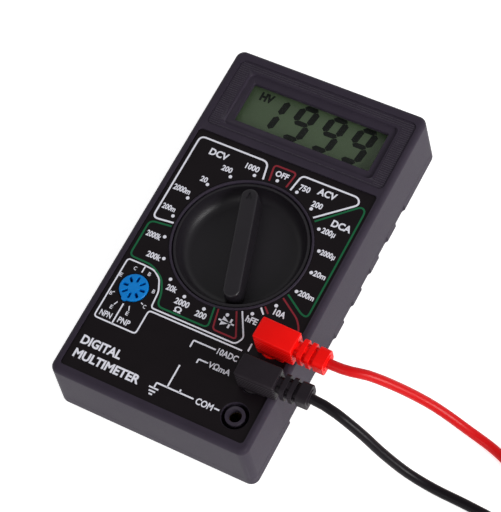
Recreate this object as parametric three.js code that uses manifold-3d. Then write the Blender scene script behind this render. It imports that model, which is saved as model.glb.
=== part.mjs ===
// Pocket digital multimeter: a two-shell case with a display, a rotary range dial, a transistor
// socket and three front jacks, and two test leads, a red and a black one, plugged into it.
// Millimetres. X runs across the meter, Y along it towards the display, Z up out of its face.
// The origin is the bottom centre of the case, which stands on z = 0.
import * as THREE from 'three';
import { mergeVertices } from 'three/addons/utils/BufferGeometryUtils.js';
import Module from 'manifold-3d';

const wasm = await Module();
wasm.setup();

// ---- Driving dimensions -------------------------------------------------------------------

const caseWidth = 70;
const caseLength = 127.2;
const caseHeight = 24;
const caseCorner = 3; // plan radius of the case's corners
const caseDraft = 1; // how far each side leans in from base to face
const edgeRound = 1.8; // rounding of the case's top and bottom edges
const wall = 2;
const floorThickness = 2;
const faceThickness = 2.5; // from the inside ceiling to the rim of the face
const partingHeight = 5; // the shells meet here
const seam = 0.1; // gap between the shells
const fitGap = 0.3; // usual gap between neighbouring pieces

const gripPitch = 12.4; // finger notches along both long base edges
const gripWidth = 6.7;
const gripDepth = 1;
const gripHeight = 4.5;
const gripCount = 7;

const labelSideMargin = 3.3; // from the case's side to the label
const labelEndMargin = 4.1; // from the case's lower end to the label
const labelTopMargin = 32.8; // from the case's display end to the label
const labelCorner = 1.2;
const labelRecess = 0.75;
const labelThickness = 0.25;

const bezelEndMargin = 4.4; // from the case's display end to the ribbed panel
const bezelSideMargin = 3.5;
const bezelLength = 26;
const bezelCorner = 2;
const bezelRecess = 0.4;
const bandWidth = 52.6; // smooth band around the display opening
const bandLength = 19.8;
const bandRecess = 1.2;
const displayWidth = 48.1; // opening over the display
const displayLength = 14.6;
const displayX = 0.5; // the display and its panel sit a little right of the middle
const displayCentreFromEnd = 17.9; // from the case's display end

const lensThickness = 1.2;
const glassThickness = 2.6;
const glassWidth = 56;
const glassLength = 21;
const frameWall = 1.8; // wall of the frame that holds the display
const frameLedge = 2.2; // ledge under the display glass
const zebraWidth = 2.4; // rubber connector under the display glass

const boardThickness = 1.6;
const boardTop = 12.6; // height of the board's dial side
const boardMargin = 0.6; // from the inside wall to the board

const dialX = 0.2;
const dialY = -1;
const knobRadius = 21.6; // visible disc of the dial
const knobGap = 0.3; // around the disc
const collarWidth = 0.8; // raised collar around the disc
const collarRise = 0.3;
const shoulderStep = 1; // the dial's hidden shoulder is this much wider than its disc
const shoulderTop = 21;
const knobRim = 23.3; // height of the disc's rim
const dishSlope = 5.2; // from the disc's edge in to the flat floor of the dish
const dishFloor = 17.5;
const knobWall = 1.8;
const wellGap = 0.3; // around the shoulder
const wellWall = 1.4;
const dialSides = 36; // facets of the dial and of the openings around it
const barWidth = 6;
const barMargin = 2.4; // from the disc's edge to the bar's ends
const barTop = 25;
const barTipRadius = 1.6;
const hubRadius = 2.6;
const detentCount = 20;
const detentStep = (2 * Math.PI) / detentCount;
const restStep = 1; // the pointer rests on the first position to the left of OFF
const ballRadius = 1.2;
const ballProud = 0.2; // how far each ball stands out of the shoulder
const notchRadius = 0.7;
const springCoilRadius = 0.8;
const springLength = 4;
const wiperInsets = [14.1, 10.6, 7.1]; // from the disc's edge to the three contact wipers

const jackInset = 9.7; // from the case's side to the jacks
const lowestJackInset = 11.3; // from the case's lower end to the COM jack
const jackPitch = 12.3;
const jackRecessRadius = 4.3; // ring-shaped recess that takes a plug's shroud
const jackCollarRadius = 3.1;
const jackBore = 2.05;
const jackWall = 0.4;
const jackTop = 20.8;
const jackTail = 8.4; // height of the jacks' soldered ends
const jackFlange = 3.4;
const jackBossWall = 1.3;
const jackRecessDepth = 8.4;

const socketX = -23.2; // transistor test socket
const socketFromEnd = 35.6; // from the case's lower end
const socketRadius = 4.65;
const socketProud = 0.4; // above the label
const socketHoles = 8;
const socketHoleRadius = 2.9;
const socketKey = [1.8, 2.4, -1, -4]; // width, length and place of the socket's key

const rearScrewInset = 6; // from the case's side
const rearScrewFromEnd = 34.6; // from the case's display end
const bossRadius = 3.2;
const screwHeadRadius = 2.7;
const screwRadius = 1.1;
const screwHole = 1.2;
const boardPostRadius = 2;
const boardScrewInset = 3.9; // from the board's side
const boardScrewReach = 19; // along the board, either way from the dial's centre line
const boardScrewRadius = 0.8;
const boardScrewHead = 1.9;

const batteryLength = 46.4;
const batteryWidth = 25.6;
const batteryThickness = 17.5;
const batterySideGap = 2.1; // the sides lean in towards the face
const batteryEndGap = 2.3;
const terminalRadius = 2.8;
const terminalPitch = 12.7;
const terminalHeight = 2.4;
const snapThickness = 3.4;

const fuseRadius = 2.6;
const fuseLength = 20;
const fuseClipWidth = 3;

const plugLength = 12.9; // block of a plug, along the lead
const plugWidth = 7.3;
const plugHeight = 9.2;
const plugBehindPin = 3.75; // how far the block reaches past its pin, away from the lead
const plugEdge = 0.7; // chamfer of the block's edges
const shroudOuter = 4;
const shroudInner = 3.4;
const shroudLength = 8;
const pinRadius = 1.8;
const pinLength = 14;
const reliefLength = 10.8; // strain relief behind the block
const reliefDrop = 4.6; // from the block's top down to the lead's axis
const leadDiameter = 3.2;
const leadSides = 8;
const redPlugRest = 2; // height of each block above the label, with its pin home
const blackPlugRest = 0.8;
const redPlugTurn = THREE.MathUtils.degToRad(-1.5);
const blackPlugTurn = THREE.MathUtils.degToRad(1);

const coilInner = 12.6;
const coilOuter = 22.4;
const coilHeight = 6.6;
const tieThickness = 0.4;
const tieWidth = 5;
const probeLength = 84; // handle
const probeRadius = 5;
const probeGuard = 6.2;
const probeTipRadius = 1;
const probeTipLength = 26;

// ---- Derived places -----------------------------------------------------------------------

const endY = caseLength / 2;
const sideX = caseWidth / 2;
const ceiling = caseHeight - faceThickness;
const labelFloor = caseHeight - labelRecess;
const labelTop = labelFloor + labelThickness;
const displayY = endY - displayCentreFromEnd;
const bezelY = endY - bezelEndMargin - bezelLength / 2;
const jackX = sideX - jackInset;
const jackY = [0, 1, 2].map((place) => -endY + lowestJackInset + place * jackPitch);
const socketY = -endY + socketFromEnd;
const boardBottom = boardTop - boardThickness;
const boardHalfWidth = sideX - wall - boardMargin;
const wellRadius = knobRadius + shoulderStep + wellGap;
const wellBottom = boardTop + fitGap;
const batteryX = -sideX + wall + batterySideGap + batteryLength / 2;
const batteryY = -endY + wall + batteryEndGap + batteryWidth / 2;
const rearScrews = [-1, 1].map((side) => [side * (sideX - rearScrewInset), endY - rearScrewFromEnd]);
const boardScrews = [[-1, 1], [1, 1], [-1, -1], [1, -1]].map(
  ([side, end]) => [side * (boardHalfWidth - boardScrewInset), dialY + 2 + end * boardScrewReach]);
const dishRadius = knobRadius - dishSlope;
const barHalfLength = knobRadius - barMargin;

// ---- Shapes and solids --------------------------------------------------------------------

function roundedRect(width, length, corner, x = 0, y = 0) {
  const right = x + width / 2 - corner;
  const left = x - width / 2 + corner;
  const far = y + length / 2 - corner;
  const near = y - length / 2 + corner;
  const shape = new THREE.Shape();
  shape.absarc(right, near, corner, -Math.PI / 2, 0, false);
  shape.absarc(right, far, corner, 0, Math.PI / 2, false);
  shape.absarc(left, far, corner, Math.PI / 2, Math.PI, false);
  shape.absarc(left, near, corner, Math.PI, 1.5 * Math.PI, false);
  shape.closePath();
  return shape;
}

function outline(points) {
  return new THREE.Shape(points.map(([x, y]) => new THREE.Vector2(x, y)));
}

function prism(shape, bottom, top, curveSegments = 4) {
  const settings = { depth: top - bottom, bevelEnabled: false, curveSegments };
  return new THREE.ExtrudeGeometry(shape, settings).translate(0, 0, bottom);
}

function rod(radius, bottom, top, x = 0, y = 0, sides = 16) {
  const geometry = new THREE.CylinderGeometry(radius, radius, top - bottom, sides);
  return geometry.rotateX(Math.PI / 2).translate(x, y, (bottom + top) / 2);
}

function block(width, length, bottom, top, x = 0, y = 0) {
  const geometry = new THREE.BoxGeometry(width, length, top - bottom);
  return geometry.translate(x, y, (bottom + top) / 2);
}

// Turns a profile of [radius, height] points about the Z axis.
function turned(profile, segments = 24) {
  const points = profile.map(([radius, height]) => new THREE.Vector2(radius, height));
  return new THREE.LatheGeometry(points, segments).rotateX(Math.PI / 2);
}

// A ring of rectangular section about the Z axis.
function ring(inner, outer, bottom, top, segments = 24) {
  return turned([[inner, bottom], [outer, bottom], [outer, top], [inner, top], [inner, bottom]], segments);
}

function tube(points, radius, sides, steps) {
  const curve = new THREE.CatmullRomCurve3(points.map((point) => new THREE.Vector3(...point)));
  const section = new THREE.Shape();
  for (let side = 0; side < sides; side += 1) {
    const angle = (2 * Math.PI * side) / sides;
    const corner = [radius * Math.cos(angle), radius * Math.sin(angle)];
    if (side === 0) section.moveTo(...corner);
    else section.lineTo(...corner);
  }
  section.closePath();
  return new THREE.ExtrudeGeometry(section, { steps, bevelEnabled: false, extrudePath: curve });
}

function toSolid(geometry) {
  const bare = geometry.clone();
  bare.deleteAttribute('normal');
  bare.deleteAttribute('uv');
  const welded = mergeVertices(bare, 1e-4);
  const corners = welded.index.array;
  const kept = [];
  for (let i = 0; i < corners.length; i += 3) {
    const [a, b, c] = corners.slice(i, i + 3);
    if (a !== b && b !== c && c !== a) kept.push(a, b, c);
  }
  const vertProperties = new Float32Array(welded.attributes.position.array);
  return new wasm.Manifold(new wasm.Mesh({ numProp: 3, vertProperties, triVerts: new Uint32Array(kept) }));
}

function toGeometry(solid) {
  const mesh = solid.getMesh();
  const geometry = new THREE.BufferGeometry();
  geometry.setAttribute('position', new THREE.BufferAttribute(mesh.vertProperties, 3));
  geometry.setIndex(new THREE.BufferAttribute(mesh.triVerts, 1));
  return geometry;
}

// Joins geometries, then cuts others out of the result.
function carve(joined, removed = []) {
  let solid = toSolid(joined[0]);
  for (const geometry of joined.slice(1)) solid = solid.add(toSolid(geometry));
  for (const geometry of removed) solid = solid.subtract(toSolid(geometry));
  return toGeometry(solid);
}

// Leans the sides of the case in towards its face.
function drafted(geometry) {
  const position = geometry.attributes.position;
  for (let i = 0; i < position.count; i += 1) {
    const lean = (caseDraft * position.getZ(i)) / caseHeight;
    position.setX(i, position.getX(i) * (1 - lean / sideX));
    position.setY(i, position.getY(i) * (1 - lean / endY));
  }
  return geometry;
}

function finish(color, roughness, metalness = 0) {
  return new THREE.MeshStandardMaterial({ color, roughness, metalness });
}

function piece(name, geometry, material) {
  const mesh = new THREE.Mesh(geometry, material);
  mesh.name = name;
  return mesh;
}

const casePlastic = () => finish(0x35313a, 0.5);
const steel = () => finish(0xb8bcc2, 0.35, 1);
const brass = () => finish(0xc9a24a, 0.35, 1);
const blackPlastic = () => finish(0x26262a, 0.5);

// ---- Case ---------------------------------------------------------------------------------

// The whole outside of the closed case.
function caseBlock() {
  const settings = {
    depth: caseHeight - 2 * edgeRound,
    bevelThickness: edgeRound,
    bevelSize: edgeRound,
    bevelOffset: -edgeRound,
    bevelSegments: 2,
    curveSegments: 4,
  };
  const shape = roundedRect(caseWidth, caseLength, caseCorner);
  return drafted(new THREE.ExtrudeGeometry(shape, settings).translate(0, 0, edgeRound));
}

// The space inside both shells.
function caseCavity() {
  const shape = roundedRect(caseWidth - 2 * wall, caseLength - 2 * wall, caseCorner - wall);
  return drafted(prism(shape, floorThickness, ceiling, 3));
}

function frontCase() {
  const slab = (bottom, top) => block(caseWidth + 2, caseLength + 2, bottom, top);
  const shell = toSolid(caseBlock())
    .subtract(toSolid(slab(-1, partingHeight + seam)))
    .subtract(toSolid(caseCavity()));
  const added = [
    ring(wellRadius, wellRadius + wellWall, wellBottom, ceiling + 1, dialSides).translate(dialX, dialY, 0),
    ...rearScrews.map(([x, y]) => rod(bossRadius, partingHeight + seam, ceiling + 1, x, y, 12)),
    ...boardScrews.map(([x, y]) => rod(boardPostRadius, boardTop, ceiling + 1, x, y, 8)),
    ...jackY.map((y) => rod(
      jackRecessRadius + jackBossWall, labelFloor - jackRecessDepth - jackBossWall, ceiling + 1,
      jackX, y, 20)),
  ];
  const labelShape = roundedRect(
    caseWidth - 2 * labelSideMargin, caseLength - labelTopMargin - labelEndMargin, labelCorner,
    0, (labelEndMargin - labelTopMargin) / 2);
  const knobHole = knobRadius + knobGap;
  const collar = ring(
    knobHole, knobHole + collarWidth, ceiling + 0.5, labelTop + collarRise, dialSides);
  const bezelShape = roundedRect(
    caseWidth - 2 * bezelSideMargin, bezelLength, bezelCorner, displayX, bezelY);
  const bandShape = roundedRect(bandWidth, bandLength, 1.5, displayX, displayY);
  const above = caseHeight + 1;
  const [keyWidth, keyLength, keyX, keyY] = socketKey;
  const removed = [
    prism(labelShape, labelFloor, above),
    prism(bezelShape, caseHeight - bezelRecess, above),
    prism(bandShape, caseHeight - bandRecess, above),
    block(displayWidth, displayLength, ceiling - 1, above, displayX, displayY),
    rod(knobHole, shoulderTop, above, dialX, dialY, dialSides),
    rod(socketRadius + fitGap, ceiling - 1, above, socketX, socketY, 24),
    block(keyWidth + 2 * fitGap, keyLength + 2 * fitGap, ceiling - 1, above, socketX + keyX, socketY + keyY),
    ...jackY.flatMap((y) => [
      ring(jackCollarRadius, jackRecessRadius, labelFloor - jackRecessDepth, above, 20)
        .translate(jackX, y, 0),
      rod(jackBore, 0, above, jackX, y, 12),
      rod(jackBore + jackWall + 0.1, 0, jackTop + 0.2, jackX, y, 12),
    ]),
    ...rearScrews.map(([x, y]) => rod(screwHole, 0, 15, x, y, 8)),
    ...boardScrews.map(([x, y]) => rod(boardScrewRadius + 0.2, 0, 17, x, y, 8)),
  ];
  for (let detent = 0; detent < detentCount; detent += 1) {
    const angle = detent * detentStep;
    const x = dialX + wellRadius * Math.cos(angle);
    const y = dialY + wellRadius * Math.sin(angle);
    removed.push(rod(notchRadius, 0, wellBottom + 2 * ballRadius + 1, x, y, 4));
  }
  let solid = shell;
  for (const geometry of added) solid = solid.add(toSolid(geometry));
  for (const geometry of removed) solid = solid.subtract(toSolid(geometry));
  solid = solid.add(toSolid(collar.translate(dialX, dialY, 0)));
  return piece('front_case', toGeometry(solid), casePlastic());
}

function rearCover() {
  let solid = toSolid(caseBlock())
    .subtract(toSolid(block(caseWidth + 2, caseLength + 2, partingHeight, caseHeight + 1)))
    .subtract(toSolid(caseCavity()));
  for (const [x, y] of rearScrews) {
    solid = solid.add(toSolid(rod(bossRadius, floorThickness - 1, partingHeight, x, y)));
    solid = solid.subtract(toSolid(rod(screwHeadRadius + fitGap, -1, floorThickness, x, y)));
    solid = solid.subtract(toSolid(rod(screwHole + 0.2, -1, partingHeight + 1, x, y, 12)));
  }
  for (let notch = 0; notch < gripCount; notch += 1) {
    const y = (notch - (gripCount - 1) / 2) * gripPitch;
    for (const side of [-1, 1]) {
      const cut = block(2 * gripDepth, gripWidth, -1, gripHeight, side * sideX, y);
      solid = solid.subtract(toSolid(cut));
    }
  }
  for (const side of [-1, 1]) {
    const tab = block(8, 1, floorThickness - 0.5, partingHeight + 2, side * 18, -endY + wall + 0.8);
    solid = solid.add(toSolid(tab));
  }
  return piece('rear_cover', toGeometry(solid), casePlastic());
}

function screw(name, headRadius, radius, headBottom, headTop, tipZ) {
  const profile = [[0, headBottom], [headRadius, headBottom], [headRadius, headTop], [radius, headTop],
    [radius, tipZ - radius], [0, tipZ]];
  const slot = block(2 * headRadius + 1, 0.6, headBottom - 1, headBottom + 0.5);
  return piece(name, carve([turned(profile, 10)], [slot]), steel());
}

function placed(mesh, x, y, z = 0) {
  mesh.position.set(x, y, z);
  return mesh;
}

function caseScrews() {
  return rearScrews.map(([x, y], index) => {
    const name = index === 0 ? 'rear_screw_left' : 'rear_screw_right';
    return placed(screw(name, screwHeadRadius, screwRadius, 0.4, floorThickness, 14), x, y);
  });
}

function faceLabel() {
  const gap = 0.15;
  const shape = roundedRect(
    caseWidth - 2 * (labelSideMargin + gap), caseLength - labelTopMargin - labelEndMargin - 2 * gap,
    labelCorner - gap, 0, (labelEndMargin - labelTopMargin) / 2);
  const [keyWidth, keyLength, keyX, keyY] = socketKey;
  const through = (radius, x, y, sides) => rod(radius, labelFloor - 1, labelTop + 1, x, y, sides);
  const holes = [
    through(knobRadius + knobGap + collarWidth + gap, dialX, dialY, dialSides),
    through(socketRadius + fitGap, socketX, socketY, 24),
    block(keyWidth + 2 * fitGap, keyLength + 2 * fitGap, labelFloor - 1, labelTop + 1,
      socketX + keyX, socketY + keyY),
    ...jackY.map((y) => through(jackRecessRadius + gap, jackX, y, 20)),
  ];
  return piece('face_label', carve([prism(shape, labelFloor, labelTop)], holes), finish(0x19171b, 0.55));
}

// ---- Display ------------------------------------------------------------------------------

const glassTop = ceiling - lensThickness - 0.3;
const glassBottom = glassTop - glassThickness;

function displayParts() {
  const pocket = 0.4;
  const slab = (width, length, bottom, top) => block(width, length, bottom, top, displayX, displayY);
  const frameTop = ceiling - 0.1;
  const frame = carve(
    [slab(glassWidth + pocket + 2 * frameWall, glassLength + pocket + 2 * frameWall, boardTop, frameTop)],
    [slab(glassWidth + pocket, glassLength + pocket, glassBottom - 0.1, ceiling),
      slab(glassWidth - 2 * frameLedge, glassLength - 2 * frameLedge, boardTop - 1, ceiling)]);
  const zebraY = displayY - glassLength / 2 + frameLedge + fitGap + zebraWidth / 2;
  const zebra = block(glassWidth - 8, zebraWidth, boardTop, glassBottom, displayX, zebraY);
  const lens = slab(glassWidth, glassLength, frameTop - lensThickness, frameTop);
  const glass = slab(glassWidth, glassLength, glassBottom, glassTop);
  return [
    piece('display_window', lens, finish(0xdfe4e0, 0.08)),
    piece('display_glass', glass, finish(0x4c5c46, 0.25)),
    piece('display_frame', frame, finish(0xd8d6cc, 0.6)),
    piece('display_connector', zebra, finish(0xd88fa0, 0.7)),
  ];
}

// ---- Board and what is soldered to it -----------------------------------------------------

function mainBoard() {
  const top = endY - wall - 1.6;
  const bottom = -endY + wall + 1.6;
  const battery = batteryY + batteryWidth / 2 + 0.4;
  const step = batteryX + batteryLength / 2 + snapThickness + 0.7;
  const shape = outline([[-boardHalfWidth, battery], [step, battery], [step, bottom],
    [boardHalfWidth - 3, bottom], [boardHalfWidth, bottom + 3], [boardHalfWidth, top - 3],
    [boardHalfWidth - 3, top], [-boardHalfWidth + 3, top], [-boardHalfWidth, top - 3]]);
  const holes = [
    rod(hubRadius + 0.3, 0, caseHeight, dialX, dialY),
    ...rearScrews.map(([x, y]) => rod(bossRadius + 0.4, 0, caseHeight, x, y)),
    ...boardScrews.map(([x, y]) => rod(boardScrewRadius + 0.2, 0, caseHeight, x, y, 12)),
    ...jackY.map((y) => rod(jackBore + jackWall + 0.1, 0, caseHeight, jackX, y)),
  ];
  const geometry = carve([drafted(prism(shape, boardBottom, boardTop))], holes);
  const screws = boardScrews.map(([x, y], index) => placed(
    screw(`board_screw_${index + 1}`, boardScrewHead, boardScrewRadius, boardBottom - 1.3, boardBottom, 16),
    x, y));
  return [piece('main_board', geometry, finish(0x2c5a35, 0.5)), ...screws];
}

function jacks() {
  return ['jack_com', 'jack_vohm', 'jack_10a'].map((name, index) => {
    const outer = jackBore + jackWall;
    const profile = [[jackBore, jackTail], [outer, jackTail], [outer, boardTop + 0.05],
      [jackFlange - 0.6, boardTop + 0.05], [jackFlange - 0.6, boardTop + 0.5],
      [outer, boardTop + 0.5], [outer, jackTop], [jackBore, jackTop], [jackBore, jackTail]];
    return placed(piece(name, turned(profile, 12), brass()), jackX, jackY[index]);
  });
}

function transistorSocket() {
  const top = labelTop + socketProud;
  const [keyWidth, keyLength, keyX, keyY] = socketKey;
  const body = [
    rod(socketRadius, boardTop, top, 0, 0, 24),
    block(keyWidth, keyLength, boardTop, top, keyX, keyY),
  ];
  const holes = [];
  for (let hole = 0; hole < socketHoles; hole += 1) {
    const slot = block(1.7, 0.6, top - 3, top + 1, socketHoleRadius, 0);
    holes.push(slot.rotateZ((hole * 2 * Math.PI) / socketHoles));
  }
  return placed(piece('transistor_socket', carve(body, holes), finish(0x0a8cdc, 0.45)), socketX, socketY);
}

function fuseParts() {
  const axisZ = boardBottom - fuseRadius - 0.9;
  const fuseX = -2;
  const fuseY = -26.5;
  const fuse = new THREE.CylinderGeometry(fuseRadius, fuseRadius, fuseLength, 14).rotateZ(Math.PI / 2);
  const clipInner = 2 * fuseRadius + 0.4;
  const clip = () => carve(
    [block(fuseClipWidth, clipInner + 1, -fuseRadius, boardBottom - axisZ)],
    [block(fuseClipWidth + 1, clipInner, -fuseRadius - 1, fuseRadius + 0.3)]);
  const reach = fuseLength / 2 - fuseClipWidth / 2 - 1;
  return [
    placed(piece('fuse', fuse, finish(0xd9dcd6, 0.15)), fuseX, fuseY, axisZ),
    placed(piece('fuse_clip_left', clip(), steel()), fuseX - reach, fuseY, axisZ),
    placed(piece('fuse_clip_right', clip(), steel()), fuseX + reach, fuseY, axisZ),
  ];
}

function boardComponents() {
  const blob = turned([[0, -2], [5, -1.7], [8, -0.9], [9, 0], [0, 0]], 20);
  const trimmer = turned([[0, -3.6], [3, -3.6], [3.2, -3.2], [3.2, 0], [0, 0]], 14);
  const canister = turned([[0, -7.5], [2.2, -7.5], [2.5, -7.1], [2.5, 0], [0, 0]], 14);
  const filmBox = () => block(7.2, 2.6, -6, 0);
  const shunt = new THREE.CatmullRomCurve3([[0, 8, -0.3], [0, 7.8, -3.5], [0, 0, -5.6], [0, -7.8, -3.5],
    [0, -8, -0.3]].map((point) => new THREE.Vector3(...point)));
  const wire = new THREE.ExtrudeGeometry(
    roundedRect(1.5, 1.5, 0.5), { steps: 10, bevelEnabled: false, curveSegments: 1, extrudePath: shunt });
  const z = boardBottom;
  return [
    placed(piece('chip_cover', blob, finish(0x141416, 0.4)), -4, displayY + 2, z),
    placed(piece('trimmer', trimmer, finish(0x2a6ac0, 0.5)), 14, displayY - 2, z),
    placed(piece('capacitor_round', canister, finish(0x22305a, 0.4)), -20, displayY - 4, z),
    placed(piece('capacitor_film_1', filmBox(), finish(0x9c3a2a, 0.5)), 24, displayY + 4, z),
    placed(piece('capacitor_film_2', filmBox(), finish(0x9c3a2a, 0.5)), 24, displayY - 5, z),
    placed(piece('shunt_wire', wire, finish(0xb87344, 0.35, 1)),
      jackX + jackFlange + 1.3, (jackY[0] + jackY[1]) / 2, z),
  ];
}

// ---- Battery ------------------------------------------------------------------------------

function batteryParts() {
  const end = batteryX + batteryLength / 2;
  const middle = floorThickness + fitGap + batteryThickness / 2;
  const terminal = (radius, y) => new THREE.CylinderGeometry(radius, radius, terminalHeight + 1, 12)
    .rotateZ(Math.PI / 2)
    .translate(end + (terminalHeight - 1) / 2, y, middle);
  const upper = batteryY + terminalPitch / 2;
  const lower = batteryY - terminalPitch / 2;
  const can = prism(
    roundedRect(batteryThickness, batteryWidth, 2), -batteryLength / 2, batteryLength / 2, 3)
    .rotateY(Math.PI / 2)
    .translate(batteryX, batteryY, middle);
  const battery = carve([can, terminal(terminalRadius, upper), terminal(terminalRadius, lower)]);
  const snapX = end + fitGap + snapThickness / 2;
  const snap = carve(
    [block(snapThickness, batteryWidth - 1, middle - 6, middle + 6, snapX, batteryY)],
    [terminal(terminalRadius + fitGap, upper), terminal(terminalRadius + fitGap, lower)]);
  const snapTop = middle + 6;
  const boardEdge = batteryY + batteryWidth / 2 + 0.4;
  const wire = (x, z) => tube(
    [[x, batteryY + 9, snapTop + 0.9 + z], [x, boardEdge - 3, snapTop + 2.2 + z],
      [x, boardEdge + 3, 15.6 + z], [x, boardEdge + 4, boardTop + 0.4]], 0.6, 6, 9);
  return [
    piece('battery', battery, finish(0xb08a34, 0.4, 0.3)),
    piece('battery_snap', snap, blackPlastic()),
    piece('battery_wire_red', wire(snapX - 0.8, 0), finish(0xb01818, 0.5)),
    piece('battery_wire_black', wire(snapX + 0.8, 0), finish(0x1a1a1c, 0.5)),
  ];
}

// ---- Dial ---------------------------------------------------------------------------------

const dialUnderside = dishFloor - knobWall;
const shoulderRadius = knobRadius + shoulderStep;
const ballZ = wellBottom + ballRadius + 0.2;
const ballPlace = shoulderRadius + ballProud - ballRadius;

function dialKnob() {
  const skirt = shoulderRadius - knobWall - springLength;
  const profile = [[0, dialUnderside], [skirt, dialUnderside], [skirt, wellBottom],
    [shoulderRadius, wellBottom], [shoulderRadius, shoulderTop - fitGap],
    [knobRadius, shoulderTop - fitGap], [knobRadius, knobRim - 0.4], [knobRadius - 0.4, knobRim]];
  const slope = 4;
  for (let step = 0; step <= slope; step += 1) {
    const angle = (step / slope) * (Math.PI / 2);
    profile.push([
      dishRadius + (knobRadius - 0.9 - dishRadius) * Math.cos(angle),
      knobRim - (knobRim - dishFloor) * Math.sin(angle)]);
  }
  profile.push([0, dishFloor]);
  const barEnd = barHalfLength - barWidth / 2;
  const bar = outline([[barWidth / 2, -barEnd]]);
  bar.absarc(0, barEnd, barWidth / 2, 0, Math.PI, false);
  bar.absarc(0, -barEnd, barWidth / 2, Math.PI, 2 * Math.PI, false);
  const pointer = outline([[-1, barHalfLength - 4], [1, barHalfLength - 4], [0, barHalfLength - 1.5]]);
  const pocketRadius = ballRadius + 0.15;
  const pocketLength = springLength + 3;
  const pocket = (side) => new THREE.CylinderGeometry(pocketRadius, pocketRadius, pocketLength, 10)
    .rotateZ(Math.PI / 2)
    .translate(side * (shoulderRadius - pocketLength / 2 + 1), 0, ballZ);
  const hub = rod(hubRadius, boardBottom + 0.2, dishFloor - 1);
  const knob = carve(
    [turned(profile, dialSides), prism(bar, dishFloor - 0.5, barTop, 6), hub],
    [prism(pointer, barTop - 0.4, barTop + 1), pocket(-1), pocket(1)]);
  return piece('dial_knob', knob, blackPlastic());
}

function detent(side, name) {
  const ball = new THREE.SphereGeometry(ballRadius, 10, 6).translate(side * ballPlace, 0, ballZ);
  const inner = ballPlace - ballRadius - 0.1;
  const turns = 3;
  const steps = 24;
  const points = [];
  for (let step = 0; step <= steps; step += 1) {
    const angle = (step / steps) * turns * 2 * Math.PI;
    points.push([side * (inner - 0.3 - (step / steps) * (springLength - 1.4)),
      springCoilRadius * Math.cos(angle), ballZ + springCoilRadius * Math.sin(angle)]);
  }
  return [
    piece(`detent_ball_${name}`, ball, steel()),
    piece(`detent_spring_${name}`, tube(points, 0.2, 4, 28), steel()),
  ];
}

function wipers() {
  return wiperInsets.map((inset, index) => {
    const thick = 0.3;
    const low = boardTop + fitGap;
    const high = dialUnderside - 0.1;
    const shape = outline([[-4, high], [-4, high - thick], [-1.2, high - thick], [-0.3, low],
      [0.3, low], [1.2, high - thick], [4, high - thick], [4, high]]);
    const strip = prism(shape, -0.6, 0.6).rotateX(Math.PI / 2);
    return placed(piece(`wiper_${index + 1}`, strip, brass()), 0, inset - knobRadius);
  });
}

function dial() {
  const group = new THREE.Group();
  group.position.set(dialX, dialY, 0);
  group.rotation.z = restStep * detentStep;
  group.add(dialKnob(), ...detent(-1, 'left'), ...detent(1, 'right'), ...wipers());
  return group;
}

// ---- Test leads ---------------------------------------------------------------------------

// A right-angled plug: its pin on the Z axis, its lead leaving along +X, its block's base at z = 0.
function plugParts(colour, material) {
  const front = -plugBehindPin;
  const back = front + plugLength;
  const axisZ = plugHeight - reliefDrop;
  const side = [
    [front + plugEdge, 0], [back - plugEdge, 0], [back, plugEdge], [back, plugHeight - plugEdge],
    [back - plugEdge, plugHeight], [front + plugEdge, plugHeight], [front, plugHeight - plugEdge],
    [front, plugEdge]];
  const box = prism(outline(side), -plugWidth / 2, plugWidth / 2)
    .rotateX(Math.PI / 2);
  const segment = (start, end, width, height) => prism(roundedRect(height, width, 1.2), start, end, 1)
    .rotateY(Math.PI / 2)
    .translate(back, 0, axisZ);
  const neck = 2.1;
  const relief = [
    segment(-1, reliefLength - 1.2, 2 * neck, 2 * neck),
    segment(1.4, 3.4, 7, 6.6),
    segment(4.8, 6.4, 6.8, 6.4),
    segment(7.4, 9.4, 6.4, 6),
    segment(9.3, reliefLength, 5, 4.8),
    block(5.6, 2.4, axisZ - 1.6, axisZ + 2.6, back + 3.6, 0),
  ];
  const shroud = ring(shroudInner, shroudOuter, -shroudLength, 1, 16);
  const bore = rod(pinRadius + 0.1, -1, 4, 0, 0, 10);
  const entry = new THREE.CylinderGeometry(leadDiameter / 2 - 0.1, leadDiameter / 2 - 0.1, 3, 8)
    .rotateZ(Math.PI / 2)
    .translate(back + reliefLength, 0, axisZ);
  const body = carve([box, ...relief, shroud], [bore, entry]);
  const tip = -pinLength;
  const pin = turned([[0, tip], [1, tip], [pinRadius - 0.1, tip + 1.4], [pinRadius, -4],
    [pinRadius, 3.8], [0, 3.8]], 10);
  return [piece(`${colour}_plug_body`, body, material()), piece(`${colour}_plug_pin`, pin, steel())];
}

function plug(colour, material, y, rest, turn) {
  const group = new THREE.Group();
  group.position.set(jackX, y, labelTop + rest);
  group.rotation.z = turn;
  group.add(...plugParts(colour, material));
  return group;
}

function coil(colour, material, x, y) {
  const bottom = tieThickness + 0.1;
  const geometry = turned([[coilInner, bottom + 1], [coilInner + 1, bottom], [coilOuter - 1, bottom],
    [coilOuter, bottom + 1], [coilOuter, bottom + coilHeight - 1], [coilOuter - 1, bottom + coilHeight],
    [coilInner + 1, bottom + coilHeight], [coilInner, bottom + coilHeight - 1], [coilInner, bottom + 1]], 24);
  const inner = roundedRect(coilOuter - coilInner + 0.9, coilHeight + 0.4, 0.8);
  const width = coilOuter - coilInner + 0.9 + 2 * tieThickness;
  const strap = roundedRect(width, coilHeight + 0.2 + 2 * tieThickness, 1);
  strap.holes.push(inner);
  const tie = prism(strap, -tieWidth / 2, tieWidth / 2, 1)
    .rotateX(Math.PI / 2)
    .translate((coilInner + coilOuter) / 2, 0, tieThickness + 0.1 + coilHeight / 2);
  return [
    placed(piece(`${colour}_coil`, geometry, material()), x, y),
    placed(piece(`${colour}_coil_tie`, tie, finish(0x18181a, 0.6)), x, y),
  ];
}

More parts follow.
